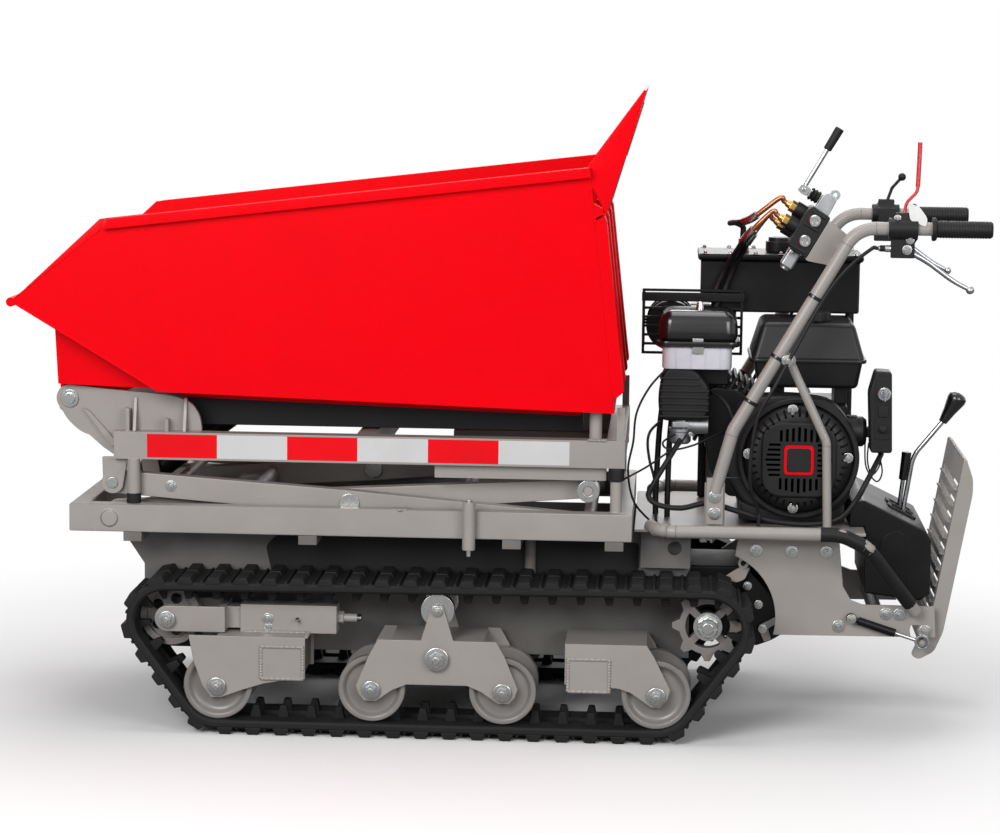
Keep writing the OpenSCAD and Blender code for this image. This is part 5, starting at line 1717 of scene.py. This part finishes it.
@dataclass
class Hydraulics:
    """The control valve with its fittings, pipes, hoses and lever, and the bolts of the tank.

    Attributes:
        origin: Foot of the valve.
        tilt: Tilt of the valve about the Y axis, in degrees.
        ports: Places of the ports on the valve.
        pivot: x and z of the lever's pin on the valve.
        hose: Radius of a hose.
        outlet: x and y of the return line on the tank.
        lid: Height of the tank's lid.
        lid_bolts: Bolts in a row on the lid.
        lid_pitch: Distance from bolt to bolt.
        pipe_end: Number of a route's point where its copper pipe ends.
        crimp_end: Number of the point where its crimped sleeve ends.
    """

    origin: Point = (683.3, -150.0, 1071.0)
    tilt: float = 60.0
    ports: tuple[Pair, ...] = ((34, 0), (2, -28), (-12, 28))
    pivot: Pair = (78, 80)
    hose: float = 6.5
    outlet: Pair = (530, 60)
    lid: float = 1024.0
    lid_bolts: int = 7
    lid_pitch: float = 56.0
    pipe_end: int = 23
    crimp_end: int = 27

    def point(self, x: float, y: float, z: float) -> Point:
        """Places a point of the tilted valve in the machine."""
        c, s = math.cos(math.radians(self.tilt)), math.sin(math.radians(self.tilt))
        return (self.origin[0] + x * c - z * s, self.origin[1] + y, self.origin[2] + x * s + z * c)

    def routes(self) -> list[list[Point]]:
        """Routes of the three hoses from their ports.

        Returns:
            The points of each route.
        """
        starts = [[self.point(x, y, d) for d in (90.4, 102, 114)] for x, y in self.ports]
        return [
            starts[0] + [
                (540, -130, 1110), (500, -40, 1096), (512, 40, 1092), (529, 59, 1082), (530, 60, 1066),
                (530, 60, 1052.4),
            ],
            starts[1] + [
                (536, -160, 1078), (514, -66, 1036), (494, -14, 998), (478, -2, 964), (464, -1.5, 930),
                (412, -1, 836), (386, -1, 790), (366, -8, 740), (352, -30, 640), (346, -60, 500),
                (346, -60, 470), (346, -60, 446.4),
            ],
            starts[2] + [
                (542, -100, 1066), (526, -52, 1032), (512, -14, 998), (498, -2, 964), (484, -1.5, 930),
                (434, -1, 836), (408, -1, 792), (392, -14, 740), (376, -60, 640), (372, -96, 500),
                (372, -96, 470), (372, -96, 446.4),
            ],
        ]

    def lines(self) -> None:
        """Lays each hose with its copper pipe and crimped sleeve."""
        hoses, pipes, sleeves = [], [], []
        for points in self.routes():
            route = smooth_route(points)
            pipes.append(sweep("pipe", route[:self.pipe_end], 5.6))
            sleeves.append(sweep("sleeve", route[self.pipe_end - 1:self.crimp_end], 9.0))
            hoses.append(sweep("hose", route[self.pipe_end + 1:], self.hose))
        hand_over(join("hoses", hoses), CHASSIS, SOFT_RUBBER, RUBBER, "hydraulic_hoses")
        hand_over(join("copper_pipes", pipes), CHASSIS, COPPER, STEEL)
        hand_over(join("crimped_sleeves", sleeves), CHASSIS, ZINC, STEEL)

    def fittings(self) -> None:
        """Sets the brass nuts on the ports and on the return line."""
        nuts = []
        for x, y in self.ports:
            nuts.append(rod("nut", self.point(x, y, 73), self.point(x, y, 86), 13.5, 1.2, 6))
            nuts.append(rod("collar", self.point(x, y, 85), self.point(x, y, 96), 9.5, 1.0, 24, 7.0))
        x, y = self.outlet
        nuts.append(rod("nut", (x, y, self.lid), (x, y, self.lid + 16), 15, 1.2, 6))
        nuts.append(rod("collar", (x, y, self.lid + 15), (x, y, self.lid + 32), 10, 1.0))
        hand_over(join("brass_fittings", nuts), CHASSIS, BRASS, STEEL)

    def laid(self, name: str, pieces: list[Object]) -> Object:
        """Joins pieces drawn square to the valve and tilts them into place.

        Args:
            name: Name of the joined piece.
            pieces: The pieces.

        Returns:
            The joined piece.
        """
        obj = join(name, pieces)
        lean = Matrix.Rotation(math.radians(-self.tilt), 4, "Y")
        obj.data.transform(Matrix.Translation(self.origin) @ lean)
        return obj

    def valve(self) -> None:
        """Models the cast valve with its port bosses, plugs, clevis, spool cap and lever bracket."""
        shape = rounded([(-45, 0), (-45, 40), (-32, 51), (40, 53), (58, 46), (56, 0)], 5)
        body = plate("body", shape, -50, 50, 2.5)
        bosses = [rod("boss", (x, y, 44), (x, y, 74), 17.0, 2.0) for x, y in self.ports]
        ribs = [block("rib", (x, -53, 7), (x + 6, 53, 44), 2.0) for x in (-40, 14, 46)]
        casting = self.laid("valve_body", [body, *bosses, *ribs])
        hand_over(casting, CHASSIS, BLACK_CASTING, BLACK, "control_valve")
        plug = [(0, 0), (13, 0), (13, 3), (11, 5), (11, 9), (7, 9), (6, 6.5), (0, 6.5)]
        plugs = [lathe("plug", plug, (x, -50, z), LEFT, 28) for x, z in ((-15, 22), (33, 26))]
        plugs += [rod("stud", (-46, y, 34), (-54, y, 34), 7.0, 1.0, 6) for y in (-30, 0)]
        cheek = rounded([(68, 66), (88, 66), (88, 84), (83, 91), (73, 91), (68, 84)], 5)
        clevis = [plate("cheek", cheek, y, y + 4, 0.8) for y in (-12, 8)]
        clevis.append(block("yoke", (70, -12, 60), (86, 12, 69), 1.5))
        hand_over(self.laid("valve_plugs", [*plugs, *clevis]), CHASSIS, ZINC, STEEL)
        cap = block("spool_cap", (-86, -22, 12), (-44, 22, 40), 5.0, 3)
        end = rod("spool_end", (-92, 0, 26), (-80, 0, 26), 10.0, 2.0)
        tongue = rounded([(54, 4), (98, 6), (100, 30), (88, 38), (54, 38)], 6)
        bracket = plate("lever_bracket", tongue, -18, 18, 2.0)
        ear = lathe("ear", [(5, -4), (11, -4), (11, 4), (5, 4)], (102, 0, 14), RIGHT, 24)
        hand_over(self.laid("spool_housings", [cap, end, bracket, ear]), CHASSIS, DIE_CAST, STEEL)

    def lever(self) -> None:
        """Models the valve lever with its pin, chromed rod and grip, and the bellows under it."""
        x, z = self.pivot
        start, grip, stem_end, end = (self.point(x + d, 0, z) for d in (0, 98, 112, 152))
        stem = rod("stem", start, stem_end, 5.0)
        pin = rod("pin", self.point(x, -20, z), self.point(x, 20, z), 4.0)
        eye = rod("eye", self.point(x, -6, z), self.point(x, 6, z), 10.0, 1.2)
        hand_over(join("valve_lever_stem", [stem, pin, eye]), "valve_lever", CHROME, STEEL, "valve_lever")
        hand_over(rod("valve_lever_grip", grip, end, 9.0, 3.0, 24, 10.0), "valve_lever", SOFT_RUBBER, GRIP)
        folds = [(15.0 if k % 2 else 11.5, 4 * k) for k in range(7)]
        tilt = math.radians(self.tilt)
        upright = (-math.sin(tilt), 0, math.cos(tilt))
        bellows = lathe("bellows", [(0, 0), *folds, (0, 24)], self.point(x, 0, 40), upright, 28)
        hand_over(bellows, CHASSIS, SOFT_RUBBER, RUBBER)

    def tank(self) -> None:
        """Sets two rows of bolts on the tank's lid."""
        along = [446 + self.lid_pitch * k for k in range(self.lid_bolts)]
        rows = [Bolt((x, y, self.lid), UP, 5.0) for y in (9, 207) for x in along]
        FastenerSet("tank_lid_bolts", CHASSIS, rows).build()

    def build(self) -> None:
        """Makes all hydraulic dress."""
        self.lines()
        self.fittings()
        self.valve()
        self.lever()
        self.tank()


@dataclass
class Controls:
    """Grips, levers and clamps on the handlebars.

    Attributes:
        bar: Distance of a handlebar from the middle.
        height: Height of the grips.
        start: Front end of a grip.
        end: Rear end of a grip.
        ribs: Ribs on a grip.
        rib_pitch: Distance from rib to rib.
    """

    bar: float = 272.0
    height: float = 1103.0
    start: float = 922.0
    end: float = 1050.0
    ribs: int = 17
    rib_pitch: float = 6.0

    def grips(self) -> None:
        """Turns the ribbed grips."""
        ribs = []
        for k in range(self.ribs):
            foot = 16 + self.rib_pitch * k
            ribs += [(17.6, foot), (18.6, foot + 1.5), (18.6, foot + 3.5), (17.6, foot + 5)]
        length = self.end - self.start
        profile = [
            (14, 0), (24, 0), (25, 2), (25, 6), (23, 9), (18, 11), *ribs, (18.5, length - 5), (15, length),
            (0, length), (0, length - 11), (14, length - 11),
        ]
        grip = lathe("ribbed_grips", profile, (self.start, -self.bar, self.height), REAR, 36)
        hand_over(both_sides(grip), CHASSIS, SOFT_RUBBER, GRIP, "hand_grips")

    def steering(self) -> None:
        """Models the polished steering levers with their ball ends."""
        for side, sign in (("left", -1), ("right", 1)):
            y = sign * self.bar
            tip = (1006, y, 975)
            route = bent_route([(872, y, 1056), (910, y, 1037), (970, y, 993), tip], 40)
            blade = sweep("blade", route, 1.0, lambda i: 6.6 - 0.08 * i)
            ball = lathe("ball", [(0, -9), *arc((0, 0), 9, -80, 80, 10), (0, 9)], tip, (0.9, 0, -0.44), 24)
            eye = rod("eye", (870, y - 4.2, 1059), (870, y + 4.2, 1059), 10.0, 1.0)
            node = f"steering_lever_{side}"
            hand_over(join(f"{node}_polished", [blade, ball, eye]), node, ALLOY, STEEL, node)

    def drive(self) -> None:
        """Models the red drive lever, its sleeve and the white cam plate beside it."""
        y = -self.bar
        bar = bent_route([(862, y, 1128), (866, y + 3, 1158), (890, y + 12, 1182), (893, y + 16, 1252)], 9)
        stem = sweep("stem", bar, 3.6)
        cover = bent_route([(890.4, y + 13, 1192), (892, y + 15, 1240), (893, y + 16.5, 1286)], 12)
        sleeve = sweep("sleeve", cover, 4.8)
        eye = rod("eye", (862, y - 4.5, 1128), (862, y + 4.5, 1128), 8.5, 1.0)
        lever = join("drive_lever_sleeve", [stem, sleeve, eye])
        hand_over(lever, "drive_lever", RED_SLEEVE, "red_lever", "drive_lever")
        shape = rounded([(868, 1160), (894, 1150), (911, 1126), (908, 1108), (874, 1122)], 6)
        hand_over(plate("cam_plate", shape, y - 15, y - 12, 0.8), CHASSIS, WHITE_SHEET, STEEL)

    def clamps(self) -> None:
        """Sets bolts, ferrules and cable ties."""
        y = -self.bar
        FastenerSet("housing_bolts", CHASSIS, mirrored_bolts([
            Bolt((848, y - 10.2, 1126), size=5), Bolt((876, y - 8.2, 1080), size=6),
            Bolt((870, y - 8.2, 1059), size=7), Bolt((474, y - 6.2, 520), size=9),
            Bolt((474, y - 6.2, 484), size=9),
        ])).build()
        bar_slope, tie_width = (0.5, 0.0, 0.866), 8
        ties = [
            rod("tie", place, [a + tie_width * b for a, b in zip(place, bar_slope)], 16.5, 1.0, 28)
            for place in ((545, y, 724), (600, y, 820), (676, y, 951))
        ]
        hand_over(both_sides(join("cable_ties", ties)), CHASSIS, GLOSS_ABS, PLASTIC)
        tube = [(4, 0), (7.5, 0), (8, 2), (8, 12), (6, 14), (6, 26), (4, 26)]
        ferrule = lathe("ferrules", tube, (836, y, 1061), (-1, 0, 0), 18)
        hand_over(both_sides(ferrule), CHASSIS, ZINC, STEEL)

    def build(self) -> None:
        """Makes all controls."""
        self.grips()
        self.steering()
        self.drive()
        self.clamps()


@dataclass
class RearEnd:
    """Gear levers, platform, guards, sleeves and bolts at the operator's end.

    Attributes:
        fold: x and z of the platform's axle.
        lean: Lean of the platform, in degrees.
        rows: Rows of toothed slots.
        row_pitch: Distance from row to row.
        teeth: Teeth in a row.
        tooth: Width of a tooth.
        plate: Face of the rear side plates.
        console_slope: Slope of the console's top, in degrees.
        lever_axle: x and z of the levers' axle.
        lever_rows: Where the gear lever and the range lever stand across the machine.
    """

    fold: Pair = (936.0, 226.0)
    lean: float = 10.0
    rows: int = 9
    row_pitch: float = 36.0
    teeth: int = 28
    tooth: float = 12.0
    plate: float = -220.0
    console_slope: float = 25.9
    lever_axle: Pair = (884.0, 400.0)
    lever_rows: Pair = (-60.0, 8.0)

    def gear_lever(self) -> None:
        """Models the gear lever with its hub and knob."""
        x, z = self.lever_axle
        y = self.lever_rows[0]
        stem = sweep("stem", bent_route([(886, y, 411), (913, y, 588), (984, y, 676)], 22), 5.4)
        eye = rod("eye", (x, y - 9, z), (x, y + 9, z), 15.0, 1.2)
        hand_over(join("gear_lever_stem", [stem, eye]), "shift_lever", CHROME, STEEL, "shift_lever")
        pear = [
            (0, -4), (9, -3), (11, 8), (14, 26), (18.5, 44), (21, 55), (20, 63), (14, 69), (6, 71), (0, 71),
        ]
        knob = lathe("gear_knob", pear, (977, y, 667), (0.5, 0, 0.87), 36)
        hand_over(knob, "shift_lever", GLOSS_ABS, PLASTIC)

    def range_lever(self) -> None:
        """Models the range lever with its hub and grip."""
        x, z = self.lever_axle
        y = self.lever_rows[1]
        stub = rod("stub", (885, y, 411), (900, y, 546), 5.0)
        hub = rod("hub", (x, y - 9, z), (x, y + 9, z), 15.0, 1.2)
        hand_over(join("range_lever_stem", [stub, hub]), "range_lever", CHROME, STEEL, "range_lever")
        grip = rod("range_grip", (897.5, y, 524), (904.5, y, 588), 9.5, 3.0, 28, 11.0)
        hand_over(grip, "range_lever", GLOSS_ABS, PLASTIC)

    def lever_gates(self) -> None:
        """Cuts the slotted rubber gates of both levers and lays them on the console."""
        seat = Matrix.Rotation(math.radians(self.console_slope), 4, "Y")
        gates = []
        for y in self.lever_rows:
            gate = plate("gate", pad((-34, -25), (34, 25), 8), -1, 5, 1.2, Side.XY)
            cut(gate, block("slot", (-26, -17, -4), (26, 17, 8), 0.0))
            gate.data.transform(Matrix.Translation((890, y, 462.4)) @ seat)
            gates.append(gate)
        hand_over(join("lever_gates", gates), CHASSIS, SOFT_RUBBER, RUBBER)

    def platform(self) -> None:
        """Folds the standing platform: side flanges, toothed slots and a lipped top."""
        flange = rounded([
            (-16, -62), (2, -70), (32, -46), (43, 0), (44, 312), (38, 344), (17, 381), (10, 381), (11, 60),
            (4, 20), (-12, -44),
        ], 10)
        sides = both_sides(plate("flange", flange, -195.5, -189.5, 1.6))
        sheet = block("sheet", (11, -190, -56), (15, 190, 381), 0.0)
        cuts, combs = [], []
        half = self.teeth * self.tooth / 2
        crests = [half - (j + 0.5) * self.tooth for j in range(self.teeth)]
        roots = [half - (j + 1) * self.tooth for j in range(self.teeth)]
        for k in range(self.rows):
            foot = 22 + self.row_pitch * k
            saw: Outline = [(-half, foot + 15), (-half, foot)]
            comb: Outline = [(13, -half), (13, half)]
            for crest, root in zip(crests, roots):
                saw += [(-crest, foot + 6), (-root, foot)]
                comb += [(3, crest), (9, root)]
            cuts.append(plate("slot", [*saw, (half, foot + 15)], 4, 24, 0.0, Side.YZ))
            combs.append(plate("comb", comb, foot - 2, foot + 0.6, 0.0, Side.XY))
        cut(sheet, join("slots", cuts))
        lip = block("lip", (11, -190, 377), (19, 190, 381), 1.0)
        made = join("platform_sheet", [sides, sheet, lip, *combs])
        lean = Matrix.Rotation(math.radians(self.lean), 4, "Y")
        made.data.transform(Matrix.Translation((self.fold[0], 0, self.fold[1])) @ lean)
        x, z = self.fold
        pivots = [rod("axle", (x, sign * 223, z), (x, sign * 188, z), 10.0) for sign in (-1, 1)]
        pivots.append(rod("gas_pin", (930, -238, 203), (930, -190, 203), 6.0))
        hand_over(join("platform", [made, *pivots]), "step_platform", GREY_ENAMEL, GREY, "step_platform")

    def guards(self) -> None:
        """Cuts the sprocket guards and the arches of the console."""
        guard = plate("guard", rounded([
            (552, 344), (590, 302), (618, 261), (632, 230), (640, 209), (606, 188), (567, 173), (559, 205),
            (542, 264),
        ], 10), -172, -168)
        arch = plate("arch", rounded([
            (834, 372), (838, 417), (856, 436), (876, 441), (888, 432), (894, 389), (893, 312), (868, 330),
        ], 14), -187.5, -183, 1.8)
        hand_over(both_sides(join("sprocket_guards", [guard, arch])), CHASSIS, BLACK_ENAMEL, BLACK)

    def openings(self) -> None:
        """Lays near-black sheets of painted shade behind the chassis openings and sets a post before each.
        """
        opening = rounded([(-492, 306), (-508, 380), (-486, 404), (312, 404), (312, 306)], 8)
        hollow = plate("hollow", opening, -205, -203, 0.0)
        # Near-black sheets: painted shade for the dark inside of the chassis.
        hand_over(both_sides(hollow), CHASSIS, DARK_HOLLOW, BLACK)
        post = rod("post", (75, -212, 318), (75, -212, 407), 12.0)
        # The post takes the same darker coat: painted shade.
        hand_over(both_sides(post), CHASSIS, SHADED_CHASSIS_ENAMEL, GREY)

    def brake_links(self) -> None:
        """Cuts the links and straps behind the sprockets and sets the bolts of the guards."""
        arm = rounded([(496, 328), (533, 352), (556, 352), (545, 326), (527, 318)], 5)
        link = plate("link", arm, -192, -182, 2.0)
        eye = lathe("eye", [(6.5, -9), (11.5, -9), (11.5, 9), (6.5, 9)], (541, -187, 362), RIGHT, 28)
        hook = rounded([
            (577, 223), (618, 243), (624, 232), (598, 216), (605, 192), (590, 186), (580, 208),
        ], 3)
        strap = plate("strap", hook, -184, -176)
        hand_over(both_sides(join("brake_links", [link, eye, strap])), CHASSIS, GREY_ENAMEL, GREY)
        places = ((551, 308, -172), (576, 267, -172), (586, 215, -184))
        bolts = [Bolt((x, y, z), size=6.5) for x, z, y in places]
        FastenerSet("guard_bolts", CHASSIS, mirrored_bolts(bolts)).build()

    def sleeves(self) -> None:
        """Pulls the black sleeve over the rear bend of each guard tube."""
        route = bent_route([(700, -332, 452), (744, -332, 452), (800, -322, 424), (900, -248, 290)], 30)
        sleeve = sweep("guard_sleeves", route, 16.0)
        hand_over(both_sides(sleeve), CHASSIS, SOFT_RUBBER, RUBBER)

    def bolts(self) -> None:
        """Sets the bolts of the side plates, the platform's axle, the gas spring and the handlebars."""
        y = self.plate - 0.2
        places = ((567, 395), (644, 394), (719, 395), (749, 232), (852, 262), (881, 261))
        side = [Bolt((x, y, z), size=9) for x, z in places]
        side += [Bolt((936, y - 3, 226), size=9), Bolt((776, -238.2, 252), size=7)]
        side.append(Bolt((622, -288, 819), size=8))
        FastenerSet("rear_plate_bolts", CHASSIS, mirrored_bolts(side)).build()

    def build(self) -> None:
        """Makes the whole rear end."""
        self.gear_lever()
        self.range_lever()
        self.lever_gates()
        self.platform()
        self.guards()
        self.openings()
        self.brake_links()
        self.sleeves()
        self.bolts()


@dataclass
class Studio:
    """Floor, lights and the camera at the photograph's angle.

    Attributes:
        eye: Place of the camera.
        yaw: Turn of the view to the left, in degrees.
        pitch: Fall of the view, in degrees.
        roll: Turn of the picture, in radians.
        lens: Focal length.
        sensor: Width of the sensor.
        floor_size: Side of the floor, in metres.
        lamps: Name, place, aim, side and power of each lamp, in metres and watts.
    """

    eye: Point = (376.2, -6650.0, 1497.9)
    yaw: float = 3.3
    pitch: float = 7.25
    roll: float = 0.0118
    lens: float = 107.5
    sensor: float = 36.0
    floor_size: float = 60.0
    lamps: tuple[tuple[str, Point, Point, float, float], ...] = (
        ("key_softbox", (-1.9, -5.0, 3.0), (0, 0, 0.6), 2.6, 215),
        ("fill_softbox", (3.2, -4.6, 2.2), (0.2, 0, 0.6), 2.4, 105),
        ("top_softbox", (0.0, 0.4, 4.6), (0, 0, 0.5), 3.0, 80),
        ("back_softbox", (1.0, 4.5, 3.0), (0, 0, 0.6), 2.4, 60),
    )

    def camera(self) -> None:
        """Sets up the camera."""
        yaw, pitch = math.radians(self.yaw), math.radians(self.pitch)
        level = math.cos(pitch)
        ahead = Vector((-math.sin(yaw) * level, math.cos(yaw) * level, -math.sin(pitch)))
        right = ahead.cross(Vector(UP)).normalized()
        up = right.cross(ahead)
        right_rolled = math.cos(self.roll) * right + math.sin(self.roll) * up
        up_rolled = math.cos(self.roll) * up - math.sin(self.roll) * right
        data = bpy.data.cameras.new("camera")
        data.lens = self.lens
        data.sensor_width = self.sensor
        data.clip_end = 200.0
        obj = bpy.data.objects.new("camera", data)
        bpy.context.scene.collection.objects.link(obj)
        turn = Matrix((right_rolled, up_rolled, -ahead)).transposed().to_4x4()
        obj.matrix_world = Matrix.Translation(Vector(self.eye) * MM) @ turn
        bpy.context.scene.camera = obj

    def lamp(self, name: str, place: Point, aim: Point, size: float, power: float) -> None:
        """Adds a soft square lamp.

        Args:
            name: Name of the lamp.
            place: Where it hangs, in metres.
            aim: What it looks at, in metres.
            size: Side of its face, in metres.
            power: Its power in watts.
        """
        data = bpy.data.lights.new(name, "AREA")
        data.size = size
        data.energy = power
        obj = bpy.data.objects.new(name, data)
        obj.location = place
        obj.rotation_euler = (Vector(aim) - Vector(place)).to_track_quat("-Z", "Y").to_euler()
        bpy.context.scene.collection.objects.link(obj)

    def world(self) -> None:
        """Sets an even pale surround, white to the camera."""
        world = bpy.data.worlds.new("studio")
        bpy.context.scene.world = world
        tree = empty_tree(world)
        rays = add_node(tree, "ShaderNodeLightPath", {})
        direct = add_node(
            tree, "ShaderNodeMath", {"operation": "MAXIMUM"},
            {0: rays.outputs["Is Camera Ray"], 1: rays.outputs["Is Transmission Ray"]},
        )
        seen = add_node(
            tree, "ShaderNodeMath", {"operation": "MAXIMUM"},
            {0: direct.outputs["Value"], 1: rays.outputs["Is Glossy Ray"]},
        )
        strength = add_node(
            tree, "ShaderNodeMapRange", {"To Min": 0.24, "To Max": 1.0}, {"Value": seen.outputs["Value"]}
        )
        back = add_node(
            tree, "ShaderNodeBackground", {"Color": (1, 1, 1, 1)}, {"Strength": strength.outputs["Result"]}
        )
        add_node(tree, "ShaderNodeOutputWorld", {}, {"Surface": back.outputs["Background"]})

    def floor(self) -> None:
        """Lays a plain pale floor that fades into the white surround away from the machine."""
        take(None)
        bpy.ops.mesh.primitive_plane_add(size=self.floor_size, location=(0, 0, -MM))
        obj = added("studio_floor")
        made = bpy.data.materials.new("pale_floor")
        tree = empty_tree(made)
        place = add_node(tree, "ShaderNodeTexCoord", {}).outputs["Object"]
        far = add_node(tree, "ShaderNodeVectorMath", {"operation": "LENGTH"}, {0: place}).outputs["Value"]
        fade = add_node(
            tree, "ShaderNodeMapRange",
            {"interpolation_type": "SMOOTHSTEP", "From Min": 0.9, "From Max": 2.2}, {"Value": far},
        ).outputs["Result"]
        rays = add_node(tree, "ShaderNodeLightPath", {})
        share = add_node(
            tree, "ShaderNodeMath", {"operation": "MULTIPLY"}, {0: fade, 1: rays.outputs["Is Camera Ray"]}
        )
        tone = add_node(
            tree,
            "ShaderNodeMix",
            {"data_type": "RGBA", 6: linear("9A9A9A"), 7: linear("F8F8F8")},
            {0: rays.outputs["Is Camera Ray"]},
        ).outputs[2]
        pale = add_node(tree, "ShaderNodeBsdfDiffuse", {}, {"Color": tone})
        white = add_node(tree, "ShaderNodeEmission", {"Color": (1, 1, 1, 1), "Strength": 1.0})
        both = add_node(
            tree, "ShaderNodeMixShader", {},
            {0: share.outputs["Value"], 1: pale.outputs["BSDF"], 2: white.outputs["Emission"]},
        )
        add_node(tree, "ShaderNodeOutputMaterial", {}, {"Surface": both.outputs["Shader"]})
        obj.data.materials.append(made)

    def build(self) -> None:
        """Sets up the whole studio."""
        bpy.context.scene.view_settings.view_transform = "Standard"
        self.camera()
        self.world()
        self.floor()
        for lamp in self.lamps:
            self.lamp(*lamp)


def main() -> None:
    """Builds the sub-assemblies in order and reports each piece."""
    logging.basicConfig(level=logging.INFO, format="%(name)s: %(message)s")
    parts = (
        Studio, PlainNodes, TrackBelts, RoadWheels, TrackFrames, ReflectiveTape, LiftDress, BinDress,
        Engine, Hydraulics, Controls, RearEnd,
    )
    for part in parts:
        part().build()


if __name__ == "__main__":
    main()
